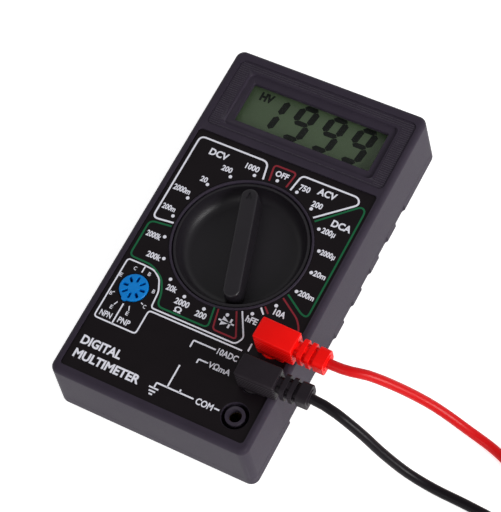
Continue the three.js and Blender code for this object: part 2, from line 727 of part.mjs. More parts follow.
// A probe lying along Y, its lead entering at the origin and its tip pointing along `facing`.
function probe(colour, material, x, y, facing) {
  const handle = turned([[0, 0], [2.4, 0], [2.9, 8], [probeGuard - 0.6, 11], [probeGuard, 12],
    [probeGuard, 14], [probeRadius, 18], [probeRadius - 0.6, probeLength - 22],
    [probeRadius, probeLength - 16], [probeGuard, probeLength - 13], [probeGuard, probeLength - 11],
    [3.6, probeLength - 9], [2.6, probeLength], [0, probeLength]], 12);
  const tip = turned([[0, probeLength + 0.3], [probeTipRadius, probeLength + 0.3],
    [probeTipRadius, probeLength + probeTipLength - 3], [0, probeLength + probeTipLength]], 10);
  const group = new THREE.Group();
  group.position.set(x, y, probeGuard);
  group.rotation.x = facing * -Math.PI / 2;
  group.add(piece(`${colour}_probe_handle`, handle, material()), piece(`${colour}_probe_tip`, tip, steel()));
  return group;
}

function lead(name, material, points, steps) {
  return piece(name, tube(points, leadDiameter / 2, leadSides, steps), material());
}

const redRubber = () => finish(0xe21c18, 0.45);
const blackRubber = () => finish(0x242426, 0.5);

// Both leads lie as measured from the foot of the middle jack.
function testLeads() {
  const group = new THREE.Group();
  group.position.set(jackX, jackY[1], 0);
  group.add(
    lead('red_lead', redRubber, [
      [20.8, 11.8, 30.1], [23.7, 11.9, 30], [26.7, 12.5, 29.4], [31.2, 14.2, 27.4], [39.4, 16.8, 20.8],
      [49.4, 19, 11.8], [60.9, 18.8, 4.2], [68.9, 17.5, 1.9], [74.7, 15.4, 1.7], [80.7, 12.4, 1.7]], 22),
    ...coil('red', redRubber, 98.7, 28),
    lead('red_lead_end', redRubber, [
      [119.4, 41.6, 1.7], [119.2, 52, 1.7], [118.9, 60, 1.7], [118.7, 68.5, 1.9], [120.8, 73.6, 2.5],
      [125.9, 75.7, 3.5], [131, 73.6, 4.7], [133.1, 68.5, 5.7], [132.7, 63.3, 6.2]], 18),
    probe('red', redRubber, 132.7, 63, -1),
    lead('black_lead', blackRubber, [
      [20.8, 0.3, 28.2], [23.7, 0.2, 27.9], [27.8, -0.2, 26.6], [36.3, -0.9, 19.9], [41.8, -1.4, 14],
      [50.2, -1.6, 6.2], [58.8, -1.6, 2.3], [67.6, -1.8, 1.7], [75.7, -2.3, 1.7], [83.3, -2.9, 1.7]], 22),
    ...coil('black', blackRubber, 95.7, -24),
    lead('black_lead_end', blackRubber, [
      [116.4, -37.6, 1.7], [116.9, -44, 1.7], [120.7, -51, 1.7], [128.7, -55.2, 1.7], [137.7, -54, 2.6],
      [145.2, -48.6, 4.8], [146.2, -42.6, 6.1], [146.2, -39.3, 6.2]], 16),
    probe('black', blackRubber, 146.2, -39, 1),
  );
  return group;
}

// ---- Assembly -----------------------------------------------------------------------------

const meter = new THREE.Group();
meter.add(
  frontCase(),
  rearCover(),
  ...caseScrews(),
  faceLabel(),
  ...displayParts(),
  ...mainBoard(),
  ...jacks(),
  transistorSocket(),
  ...fuseParts(),
  ...boardComponents(),
  ...batteryParts(),
  dial(),
  plug('red', redRubber, jackY[2], redPlugRest, redPlugTurn),
  plug('black', blackRubber, jackY[1], blackPlugRest, blackPlugTurn),
  testLeads(),
);

export default meter;
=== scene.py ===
"""Looks of a pocket multimeter and its two test leads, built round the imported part.

Lengths are worked in millimetres, and turned into metres as each mesh is made.
X runs across the meter, Y along it towards the display, and Z up out of its face.
"""

import logging
import math
from dataclasses import dataclass, field
from enum import Enum
from functools import lru_cache
from typing import Iterable, Sequence

import bmesh
import bpy
from mathutils import Matrix, Vector


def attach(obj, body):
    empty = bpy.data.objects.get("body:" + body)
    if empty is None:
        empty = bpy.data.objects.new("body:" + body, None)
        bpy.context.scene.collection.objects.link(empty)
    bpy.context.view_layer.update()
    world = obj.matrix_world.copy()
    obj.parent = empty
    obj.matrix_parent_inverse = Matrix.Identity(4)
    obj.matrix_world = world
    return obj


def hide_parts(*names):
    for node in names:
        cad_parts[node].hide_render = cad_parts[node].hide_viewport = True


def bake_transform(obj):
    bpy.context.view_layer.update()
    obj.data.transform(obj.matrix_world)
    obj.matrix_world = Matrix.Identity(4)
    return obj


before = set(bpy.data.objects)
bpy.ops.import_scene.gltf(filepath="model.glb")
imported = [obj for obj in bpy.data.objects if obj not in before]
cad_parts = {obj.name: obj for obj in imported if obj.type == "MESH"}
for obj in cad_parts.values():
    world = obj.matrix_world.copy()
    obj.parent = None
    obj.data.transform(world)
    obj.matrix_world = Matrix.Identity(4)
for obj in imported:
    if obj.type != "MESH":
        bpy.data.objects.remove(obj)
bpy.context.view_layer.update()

MM = 0.001
log = logging.getLogger("multimeter")

Point2 = tuple[float, float]
Colour = tuple[float, float, float, float]


class Body(Enum):
    """The bodies that pieces ride on."""

    METER = "meter"
    DIAL = "dial"
    RED_PLUG = "red_plug"
    BLACK_PLUG = "black_plug"


class Side(Enum):
    """The two leads, by their colour."""

    RED = "red"
    BLACK = "black"


# ---- Shader sums and finishes ---------------------------------------------------------------


def srgb(red: int, green: int, blue: int) -> Colour:
    """Turns a colour of 0 to 255 into the shader's linear colour.

    Args:
        red: Red, 0 to 255.
        green: Green, 0 to 255.
        blue: Blue, 0 to 255.

    Returns:
        The linear colour with full alpha.
    """
    def linear(value: int) -> float:
        """Linear value of one channel."""
        share = value / 255
        return share / 12.92 if share <= 0.04045 else ((share + 0.055) / 1.055) ** 2.4

    return linear(red), linear(green), linear(blue), 1.0


def shade(colour: Colour, amount: float) -> Colour:
    """Returns the colour made lighter or darker by a factor."""
    return tuple(min(1.0, channel * amount) for channel in colour[:3]) + (1.0,)


class Signal:
    """A shader socket that sums can be written on."""

    def __init__(self, paint: "Paint", socket: bpy.types.NodeSocket) -> None:
        """Wraps one output socket of a material's node."""
        self.paint = paint
        self.socket = socket

    def _sum(self, operation: str, first: "Signal | float", second: "Signal | float") -> "Signal":
        """Adds a Math node and returns its result."""
        return self.paint.node("ShaderNodeMath", {"operation": operation}, {0: first, 1: second})

    def __add__(self, other: "Signal | float") -> "Signal":
        """Sum of the two."""
        return self._sum("ADD", self, other)

    __radd__ = __add__

    def __sub__(self, other: "Signal | float") -> "Signal":
        """This less the other."""
        return self._sum("SUBTRACT", self, other)

    def __rsub__(self, other: float) -> "Signal":
        """The other less this."""
        return self._sum("SUBTRACT", other, self)

    def __mul__(self, other: "Signal | float") -> "Signal":
        """Product of the two."""
        return self._sum("MULTIPLY", self, other)

    __rmul__ = __mul__

    def __gt__(self, other: "Signal | float") -> "Signal":
        """1 where this is the greater, and 0 elsewhere."""
        return self._sum("GREATER_THAN", self, other)

    def clamped(self) -> "Signal":
        """This, held between 0 and 1."""
        return self.paint.node("ShaderNodeClamp", {}, {"Value": self})


class Paint:
    """A material being mixed: its nodes and its shader."""

    def __init__(self, name: str) -> None:
        """Starts a material with that name."""
        self.material = bpy.data.materials.new(name)
        self.material.use_nodes = True
        self.tree = self.material.node_tree
        self.shader = self.tree.nodes["Principled BSDF"]

    def node(
        self,
        kind: str,
        settings: dict[str, object] | None = None,
        inputs: dict[str | int, object] | None = None,
        output: str | int = 0,
    ) -> Signal:
        """Adds one node.

        Args:
            kind: The node's type.
            settings: Its own settings, set first; "stops" are a ramp's places and colours.
            inputs: Values or signals for its sockets.
            output: Name or place of the socket to return.

        Returns:
            The chosen output.
        """
        made = self.tree.nodes.new(kind)
        for key, value in (settings or {}).items():
            if key == "stops":
                while len(made.color_ramp.elements) < len(value):
                    made.color_ramp.elements.new(1.0)
                for element, (place, colour) in zip(made.color_ramp.elements, value):
                    element.position = place
                    element.color = colour
            else:
                setattr(made, key, value)
        for key, value in (inputs or {}).items():
            self.feed(made.inputs[key], value)
        return Signal(self, made.outputs[output])

    def feed(self, socket: bpy.types.NodeSocket, value: object) -> None:
        """Links a signal to a socket, or sets the socket's own value."""
        if isinstance(value, Signal):
            self.tree.links.new(value.socket, socket)
        else:
            socket.default_value = value

    def dress(self, **inputs: object) -> bpy.types.Material:
        """Feeds the shader's sockets, underscores for spaces, and returns the material."""
        for key, value in inputs.items():
            self.feed(self.shader.inputs[key.replace("_", " ")], value)
        return self.material

    def place(self) -> Signal:
        """Place on the object, in metres."""
        return self.node("ShaderNodeTexCoord", output="Object")

    def axis(self, letter: str) -> Signal:
        """One coordinate of the place on the object, in metres."""
        return self.node("ShaderNodeSeparateXYZ", {}, {0: self.place()}, output=letter)

    def noise(self, size: float, detail: float = 2.0) -> Signal:
        """Soft noise whose lumps are about size millimetres across."""
        inputs = {"Vector": self.place(), "Scale": 1 / (size * MM), "Detail": detail}
        return self.node("ShaderNodeTexNoise", {}, inputs)

    def mix(self, share: Signal | float, first: Signal | Colour, second: Signal | Colour) -> Signal:
        """Mixes two colours."""
        return self.node(
            "ShaderNodeMix", {"data_type": "RGBA"}, {0: share, 6: first, 7: second}, output=2)

    def bump(self, height: Signal, depth: float, strength: float = 1.0) -> Signal:
        """Normal bent by a height whose full range is depth millimetres."""
        return self.node(
            "ShaderNodeBump", {}, {"Strength": strength, "Distance": depth * MM, "Height": height},
            output="Normal")

    def edges(self, start: float, gain: float) -> Signal:
        """1 on sharp outer edges, 0 on flat ground."""
        bent = self.node("ShaderNodeNewGeometry", output="Pointiness")
        return ((bent - start) * gain).clamped()


@dataclass(frozen=True)
class Moulding:
    """Moulded plastic or rubber with a fine grain, faint clouds and rubbed edges."""

    name: str
    colour: Colour
    roughness: float = 0.45
    grain: float = 0.35
    depth: float = 0.012
    clouds: float = 0.1
    rubbed: float = 0.25
    shine: float = 0.35
    cloud_size: float = 6.0
    scuff_size: float = 1.6
    edge_start: float = 0.53
    edge_gain: float = 9.0
    scuff_keep: float = 0.75
    scuff_lift: float = 0.12

    def made(self) -> bpy.types.Material:
        """Mixes the material."""
        paint = Paint(self.name)
        cloud = paint.noise(self.cloud_size, 3.0)
        grain = paint.noise(self.grain, 3.0)
        ground = paint.mix(
            cloud, shade(self.colour, 1 - self.clouds), shade(self.colour, 1 + self.clouds))
        edges = paint.edges(self.edge_start, self.edge_gain)
        scuffs = edges * paint.noise(self.scuff_size, 4.0) * self.rubbed
        red, green, blue = (
            self.scuff_keep * channel + self.scuff_lift for channel in self.colour[:3])
        lighter = (red, green, blue, 1.0)
        colour = paint.mix(scuffs.clamped(), ground, lighter)
        rough = self.roughness + (grain - 0.5) * 0.12 + (cloud - 0.5) * 0.1
        return paint.dress(
            Base_Color=colour, Roughness=rough.clamped(), Normal=paint.bump(grain, self.depth),
            Specular_IOR_Level=self.shine)


@dataclass(frozen=True)
class Ink:
    """Screen-printed ink: nearly even, with a slightly worn edge."""

    name: str
    colour: Colour
    roughness: float = 0.5
    shine: float = 0.25
    wear_size: float = 0.5
    wear_start: float = 0.62
    worn_shade: float = 0.72

    def made(self) -> bpy.types.Material:
        """Mixes the material."""
        paint = Paint(self.name)
        worn = paint.noise(self.wear_size, 4.0)
        colour = paint.mix(
            (worn - self.wear_start) * 2.0, self.colour, shade(self.colour, self.worn_shade))
        return paint.dress(
            Base_Color=colour, Roughness=self.roughness + (worn - 0.5) * 0.2,
            Normal=paint.bump(worn, 0.004), Specular_IOR_Level=self.shine)


@dataclass(frozen=True)
class Metal:
    """Plated or drawn metal with fine drawing lines and a little tarnish."""

    name: str
    colour: Colour
    roughness: float = 0.28
    tarnish: float = 0.35
    lines_per_metre: tuple[float, float, float] = (9000, 9000, 700)

    def made(self) -> bpy.types.Material:
        """Mixes the material."""
        paint = Paint(self.name)
        drawn = paint.node(
            "ShaderNodeMapping", {}, {"Vector": paint.place(), "Scale": self.lines_per_metre})
        lines = paint.node("ShaderNodeTexNoise", {}, {"Vector": drawn, "Scale": 1.0, "Detail": 2.0})
        dull = paint.noise(2.2, 5.0)
        colour = paint.mix((dull - 0.45) * self.tarnish * 2, self.colour, shade(self.colour, 0.55))
        return paint.dress(
            Base_Color=colour, Metallic=1.0, Roughness=self.roughness + (dull - 0.4) * 0.3,
            Normal=paint.bump(lines, 0.006, 0.5))


@dataclass(frozen=True)
class ClearSheet:
    """Thin clear plastic, seen mostly by its gloss."""

    name: str
    tint: Colour
    alpha: float
    smear_size: float = 7.0
    roughness: float = 0.05
    shine: float = 0.3

    def made(self) -> bpy.types.Material:
        """Mixes the material."""
        paint = Paint(self.name)
        smear = paint.noise(self.smear_size, 4.0)
        return paint.dress(
            Base_Color=self.tint, Alpha=self.alpha + (smear - 0.5) * 0.05,
            Roughness=self.roughness + smear * 0.06, Specular_IOR_Level=self.shine)


@dataclass(frozen=True)
class LiquidCrystal:
    """Back of the liquid crystal display: grey green, finely grained, with broad duller patches and painted
    glints on the lighter specks.
    """

    name: str
    colour: Colour
    roughness: float = 0.34
    speck_size: float = 0.12
    broad_size: float = 16.0
    dull: float = 0.86
    bright: float = 1.14
    painted_glint: float = 1.35

    def made(self) -> bpy.types.Material:
        """Mixes the material."""
        paint = Paint(self.name)
        speck = paint.noise(self.speck_size, 2.0)
        broad = paint.noise(self.broad_size, 1.0)
        tone = paint.mix(broad, shade(self.colour, self.dull), shade(self.colour, self.bright))
        # Painted glints: the lighter specks of the grain are mixed toward a brighter copy of the colour.
        colour = paint.mix((speck - 0.5) * 0.5, tone, shade(self.colour, self.painted_glint))
        return paint.dress(
            Base_Color=colour, Roughness=self.roughness + (speck - 0.5) * 0.1,
            Normal=paint.bump(speck, 0.003))


@dataclass(frozen=True)
class CircuitBoard:
    """Green lacquered board with copper tracks beneath the lacquer."""

    name: str
    lacquer: Colour
    track: Colour
    cells_per_metre: float = 190.0
    track_width: float = 0.12
    track_edge: float = 30.0

    def made(self) -> bpy.types.Material:
        """Mixes the material."""
        paint = Paint(self.name)
        cells = paint.node(
            "ShaderNodeTexVoronoi", {"feature": "DISTANCE_TO_EDGE", "distance": "EUCLIDEAN"},
            {"Vector": paint.place(), "Scale": self.cells_per_metre}, output="Distance")
        track = ((self.track_width - cells) * self.track_edge).clamped()
        weave = paint.noise(0.4, 2.0)
        colour = paint.mix(track, paint.mix(weave, shade(self.lacquer, 0.85), self.lacquer), self.track)
        return paint.dress(
            Base_Color=colour, Roughness=0.3 + weave * 0.15,
            Normal=paint.bump(track + weave * 0.2, 0.05))


@dataclass(frozen=True)
class CellWrap:
    """Foil wrap of a battery: a dark end and a gold end, split along X."""

    name: str
    dark: Colour
    gold: Colour
    split: float

    def made(self) -> bpy.types.Material:
        """Mixes the material."""
        paint = Paint(self.name)
        foil = paint.noise(1.5, 4.0)
        gold = paint.mix(foil, shade(self.gold, 0.8), self.gold)
        share = paint.axis("X") > self.split * MM
        return paint.dress(
            Base_Color=paint.mix(share, self.dark, gold), Metallic=share * 0.8,
            Roughness=0.25 + foil * 0.2, Normal=paint.bump(foil, 0.02))


Finish = Moulding | Ink | Metal | ClearSheet | LiquidCrystal | CircuitBoard | CellWrap

CASE_PLASTIC = Moulding("case_plastic", srgb(52, 46, 57), 0.46, 0.4, 0.03, 0.16, 0.25, 0.06)
LABEL_FILM = Moulding("label_film", srgb(16, 10, 14), 0.38, 0.25, 0.006, 0.12, 0.0, 0.18)
DIAL_PLASTIC = Moulding("dial_plastic", srgb(29, 26, 31), 0.4, 0.3, 0.008, 0.1, 0.2)
RED_PVC = Moulding("red_pvc", srgb(238, 14, 10), 0.36, 0.6, 0.01, 0.08, 0.06, 0.1)
RED_SHEATH = Moulding("red_sheath", srgb(200, 10, 14), 0.32, 1.2, 0.008, 0.05, 0.0, 0.2)
BLACK_PVC = Moulding("black_pvc", srgb(34, 29, 34), 0.42, 0.6, 0.012, 0.16, 0.2, 0.08)
BLACK_SHEATH = Moulding("black_sheath", srgb(19, 15, 19), 0.32, 1.2, 0.008, 0.1, 0.0, 0.12)
STRAP_NYLON = Moulding("strap_nylon", srgb(22, 22, 24), 0.5, 0.5, 0.03, 0.1, 0.3)
SOCKET_BLUE = Moulding("socket_blue", srgb(0, 122, 204), 0.38, 0.5, 0.01, 0.08, 0.1, 0.25)
WHITE_PLASTIC = Moulding("white_plastic", srgb(206, 204, 194), 0.5, 0.5, 0.02, 0.05, 0.0)
ZEBRA_RUBBER = Moulding("zebra_rubber", srgb(206, 130, 148), 0.6, 0.3, 0.03, 0.08, 0.0)
CHIP_EPOXY = Moulding("chip_epoxy", srgb(16, 16, 18), 0.3, 0.8, 0.03, 0.15, 0.0)
SLEEVE_BLUE = Moulding("sleeve_blue", srgb(28, 40, 84), 0.3, 0.8, 0.01, 0.08, 0.0)
RESIN_RED = Moulding("resin_red", srgb(150, 50, 34), 0.4, 0.6, 0.03, 0.1, 0.1)
FUSE_GLASS = ClearSheet("fuse_glass", srgb(210, 216, 212), 0.35)
WINDOW_CLEAR = ClearSheet("window_clear", srgb(60, 66, 60), 0.04)
DISPLAY_GREEN = LiquidCrystal("display_green", srgb(72, 88, 64))
DISPLAY_DARK = Ink("display_dark", srgb(9, 12, 10), 0.5)
WHITE_INK = Ink("white_ink", srgb(226, 226, 236))
GREEN_INK = Ink("green_ink", srgb(14, 96, 58))
RED_INK = Ink("red_ink", srgb(132, 34, 46))
STEEL = Metal("steel", srgb(190, 192, 196))
BRASS = Metal("brass", srgb(196, 160, 82))
COPPER = Metal("copper", srgb(190, 118, 74))
BOARD_GREEN = CircuitBoard("board_green", srgb(24, 82, 44), srgb(58, 112, 58))
CELL_WRAP = CellWrap("cell_wrap", srgb(24, 24, 28), srgb(186, 148, 66), -20.0)


@lru_cache(maxsize=None)
def material_of(finish: Finish) -> bpy.types.Material:
    """Returns the one material that belongs to a finish."""
    return finish.made()


# ---- Meshes -----------------------------------------------------------------------------------


def rounded_rect(
    width: float, length: float, corner: float, x: float = 0.0, y: float = 0.0, steps: int = 8,
) -> list[Point2]:
    """Outline of a rectangle with round corners, anticlockwise.

    Args:
        width: Size along X.
        length: Size along Y.
        corner: Radius of the corners.
        x: Centre's X.
        y: Centre's Y.
        steps: Lines in each corner's arc.

    Returns:
        The outline's points.
    """
    corner = max(corner, 1e-3)
    points = []
    for turn, (across, along) in enumerate([(1, -1), (1, 1), (-1, 1), (-1, -1)]):
        middle = (x + across * (width / 2 - corner), y + along * (length / 2 - corner))
        for step in range(steps + 1):
            angle = math.pi / 2 * (turn - 1 + step / steps)
            points.append((middle[0] + corner * math.cos(angle), middle[1] + corner * math.sin(angle)))
    return points


def circle(radius: float, x: float = 0.0, y: float = 0.0, sides: int = 48) -> list[Point2]:
    """Outline of a circle, anticlockwise."""
    turns = [2 * math.pi * side / sides for side in range(sides)]
    return [(x + radius * math.cos(turn), y + radius * math.sin(turn)) for turn in turns]


def level(outline: Iterable[Point2], height: float) -> list[Vector]:
    """Lifts an outline to a height."""
    return [Vector((x, y, height)) for x, y in outline]


def eased(start: Point2, end: Point2, steps: int = 5) -> list[Point2]:
    """Quarter round from start to end that leaves start along the second axis."""
    made = []
    for step in range(steps + 1):
        angle = math.pi / 2 * step / steps
        made.append((
            end[0] + (start[0] - end[0]) * math.cos(angle),
            start[1] + (end[1] - start[1]) * math.sin(angle)))
    return made


class Solid:
    """Vertices and faces being gathered for one mesh."""

    def __init__(self) -> None:
        """Starts empty."""
        self.points: list[Vector] = []
        self.faces: list[list[int]] = []

    def loft(self, rings: Sequence[Sequence[Vector]], looped: bool = False) -> "Solid":
        """Joins rings of points by faces.

        Args:
            rings: Rings with equal numbers of points, in order.
            looped: Joins the last ring to the first; otherwise both ends are closed by a face.

        Returns:
            This solid.
        """
        start, count, total = len(self.points), len(rings[0]), len(rings)
        for ring in rings:
            self.points.extend(Vector(point) for point in ring)
        for index in range(total if looped else total - 1):
            low, high = start + index * count, start + (index + 1) % total * count
            for side in range(count):
                after = (side + 1) % count
                self.faces.append([low + side, low + after, high + after, high + side])
        if not looped:
            self.faces.append([start + side for side in reversed(range(count))])
            self.faces.append([start + (total - 1) * count + side for side in range(count)])
        return self

    def prism(self, outline: Sequence[Point2], bottom: float, top: float) -> "Solid":
        """Adds an upright prism."""
        return self.loft([level(outline, bottom), level(outline, top)])

    def turned(
        self, profile: Sequence[Point2], sides: int = 48, x: float = 0.0, y: float = 0.0,
    ) -> "Solid":
        """Turns a closed profile of radius and height about an upright axis.

        Args:
            profile: Points in order; the last joins the first. Points on the axis become poles.
            sides: Steps round the axis.
            x: Axis's X.
            y: Axis's Y.

        Returns:
            This solid.
        """
        rings = []
        for side in range(sides):
            angle = 2 * math.pi * side / sides
            rings.append([
                Vector((x + radius * math.cos(angle), y + radius * math.sin(angle), height))
                for radius, height in profile])
        return self.loft(rings, looped=True)

    def swept(self, path: Sequence[Vector], radius: float, sides: int = 16) -> "Solid":
        """Adds a round tube along a path, closed at both ends."""
        rings = []
        across = Vector((0, 0, 1))
        for index, point in enumerate(path):
            ahead = path[min(index + 1, len(path) - 1)] - path[max(index - 1, 0)]
            ahead.normalize()
            across = (across - ahead * across.dot(ahead)).normalized()
            other = ahead.cross(across)
            rings.append([
                point + radius * (math.cos(angle) * across + math.sin(angle) * other)
                for angle in (2 * math.pi * side / sides for side in range(sides))])
        return self.loft(rings)

    def moved(self, matrix: Matrix) -> "Solid":
        """Moves what is gathered so far."""
        self.points = [matrix @ point for point in self.points]
        return self

    def made(self, name: str) -> bpy.types.Object:
        """Makes the mesh object, in metres, with merged points and outward faces."""
        mesh = bpy.data.meshes.new(name)
        mesh.from_pydata([point * MM for point in self.points], [], self.faces)
        work = bmesh.new()
        work.from_mesh(mesh)
        bmesh.ops.remove_doubles(work, verts=work.verts, dist=2e-7)
        bmesh.ops.dissolve_degenerate(work, edges=work.edges, dist=1e-7)
        bmesh.ops.recalc_face_normals(work, faces=work.faces)
        work.to_mesh(mesh)
        work.free()
        made = bpy.data.objects.new(name, mesh)
        bpy.context.scene.collection.objects.link(made)
        return made


def settled(piece: bpy.types.Object) -> bpy.types.Object:
    """Applies a piece's modifiers to its mesh."""
    bpy.context.view_layer.update()
    graph = bpy.context.evaluated_depsgraph_get()
    mesh = bpy.data.meshes.new_from_object(piece.evaluated_get(graph))
    piece.modifiers.clear()
    piece.data = mesh
    return piece


def carved(
    piece: bpy.types.Object, added: Sequence[Solid] = (), removed: Sequence[Solid] = (),
) -> bpy.types.Object:
    """Joins solids to a piece, then cuts others out of it.

    Args:
        piece: The piece to change.
        added: Solids joined first.
        removed: Solids cut out after.

    Returns:
        The same piece.
    """
    tools = []
    for operation, solids in (("UNION", added), ("DIFFERENCE", removed)):
        for solid in solids:
            tool = solid.made("tool")
            tools.append(tool)
            cut = piece.modifiers.new("cut", "BOOLEAN")
            cut.operation = operation
            cut.solver = "MANIFOLD"
            cut.object = tool
    settled(piece)
    for tool in tools:
        bpy.data.objects.remove(tool)
    return piece


def softened(
    piece: bpy.types.Object, width: float, segments: int = 2, angle: float = 35.0,
) -> bpy.types.Object:
    """Rounds the edges sharper than an angle, and smooths the shading.

    Args:
        piece: The piece to change.
        width: Width of the rounding.
        segments: Faces across it.
        angle: Least angle of the edges rounded, in degrees.

    Returns:
        The same piece.
    """
    if width > 0:
        work = bmesh.new()
        work.from_mesh(piece.data)
        bmesh.ops.dissolve_limit(
            work, angle_limit=math.radians(0.5), verts=work.verts, edges=work.edges)
        work.to_mesh(piece.data)
        work.free()
        edge = piece.modifiers.new("edge", "BEVEL")
        edge.width = width * MM
        edge.segments = segments
        edge.limit_method = "ANGLE"
        edge.angle_limit = math.radians(angle)
        edge.use_clamp_overlap = True
        edge.miter_outer = "MITER_ARC"
        settled(piece)
    mesh = piece.data
    mesh.polygons.foreach_set("use_smooth", [True] * len(mesh.polygons))
    mesh.set_sharp_from_angle(angle=math.radians(angle))
    if width > 0:
        evened = piece.modifiers.new("evened", "WEIGHTED_NORMAL")
        evened.keep_sharp = True
        settled(piece)
    return piece


def shown(
    piece: bpy.types.Object, body: Body, slot: str, finish: Finish, *nodes: str,
) -> bpy.types.Object:
    """Dresses a piece and joins it to the frame.

    Args:
        piece: The finished mesh object.
        body: The body that it rides on.
        slot: The record's material slot. Not used.
        finish: Its finish.
        *nodes: The nodes that it stands for.

    Returns:
        The same piece.
    """
    piece.data.materials.clear()
    piece.data.materials.append(material_of(finish))
    if body is not None:
        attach(piece, body.value)
    if nodes:
        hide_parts(*nodes)
    log.info("%s: %d faces", piece.name, len(piece.data.polygons))
    return piece


def turn_about(x: float, y: float, z: float, degrees: float) -> Matrix:
    """Turns about Z, then moves from the origin to a place."""
    return Matrix.Translation((x, y, z)) @ Matrix.Rotation(math.radians(degrees), 4, "Z")


# ---- Leads --------------------------------------------------------------------------------------

JACK_X = 25.3
JACK_Y = (-52.3, -40.0, -27.7)
LABEL_TOP = 23.5
DIAL_PLACE = (0.2, -1.0)
SOCKET_PLACE = (-23.2, -28.0)
SOCKET_KEY = (1.8, 2.4, -1.0, -4.0)  # width, length and place of the socket's key
LAID_STEP = 3.2  # length between the points of a laid cable's axis


def smooth_path(points: Sequence[Vector], step: float) -> list[Vector]:
    """Smooth curve through points, with knots spaced by the root of their distance.

    Args:
        points: The points that it goes through.
        step: Rough length between the points of the result.

    Returns:
        Points along the curve, ends included.
    """
    first = points[0] + (points[0] - points[1])
    last = points[-1] + (points[-1] - points[-2])
    whole = [first, *points, last]
    made = []
    for index in range(1, len(whole) - 2):
        before, start, end, after = whole[index - 1:index + 3]
        knots = [0.0]
        for near, far in ((before, start), (start, end), (end, after)):
            knots.append(knots[-1] + max(math.sqrt((far - near).length), 1e-4))
        count = max(1, round((end - start).length / step))
        for part in range(count):
            at = knots[1] + (knots[2] - knots[1]) * part / count
            one = start.lerp(before, (knots[1] - at) / (knots[1] - knots[0]))
            two = start.lerp(end, (at - knots[1]) / (knots[2] - knots[1]))
            three = end.lerp(after, (at - knots[2]) / (knots[3] - knots[2]))
            low = one.lerp(two, (at - knots[0]) / (knots[2] - knots[0]))
            high = two.lerp(three, (at - knots[1]) / (knots[3] - knots[1]))
            made.append(low.lerp(high, (at - knots[1]) / (knots[2] - knots[1])))
    made.append(points[-1].copy())
    return made


@dataclass
class Winding:
    """A neat round coil of a lead in two layers of three turns, as angles, radii and heights."""

    x: float
    y: float
    start: float
    turns: float
    way: int
    steps: int = 24
    ladder: tuple[tuple[float, float, float], ...] = (
        (0.0, 20.7, 2.1), (0.8, 20.7, 2.1), (1.0, 17.5, 2.1), (1.8, 17.5, 2.1), (2.0, 14.3, 2.1),
        (2.6, 14.3, 2.1), (2.8, 14.3, 5.3), (3.4, 14.3, 5.3), (3.6, 17.5, 5.3), (4.4, 17.5, 5.3),
        (4.6, 20.7, 5.3), (6.0, 20.7, 5.3))

    def at(self, turn: float) -> Vector:
        """Place of the lead's axis after a number of turns."""
        for (low, low_radius, low_z), (high, high_radius, high_z) in zip(self.ladder, self.ladder[1:]):
            if low <= turn <= high:
                share = (turn - low) / (high - low)
                share = share * share * (3 - 2 * share)
                radius = low_radius + (high_radius - low_radius) * share
                height = low_z + (high_z - low_z) * share
                break
        angle = math.radians(self.start + self.way * 360 * turn)
        return Vector((self.x + radius * math.cos(angle), self.y + radius * math.sin(angle), height))

    def path(self) -> list[Vector]:
        """Points along the whole winding."""
        count = round(self.turns * self.steps)
        return [self.at(self.turns * step / count) for step in range(count + 1)]


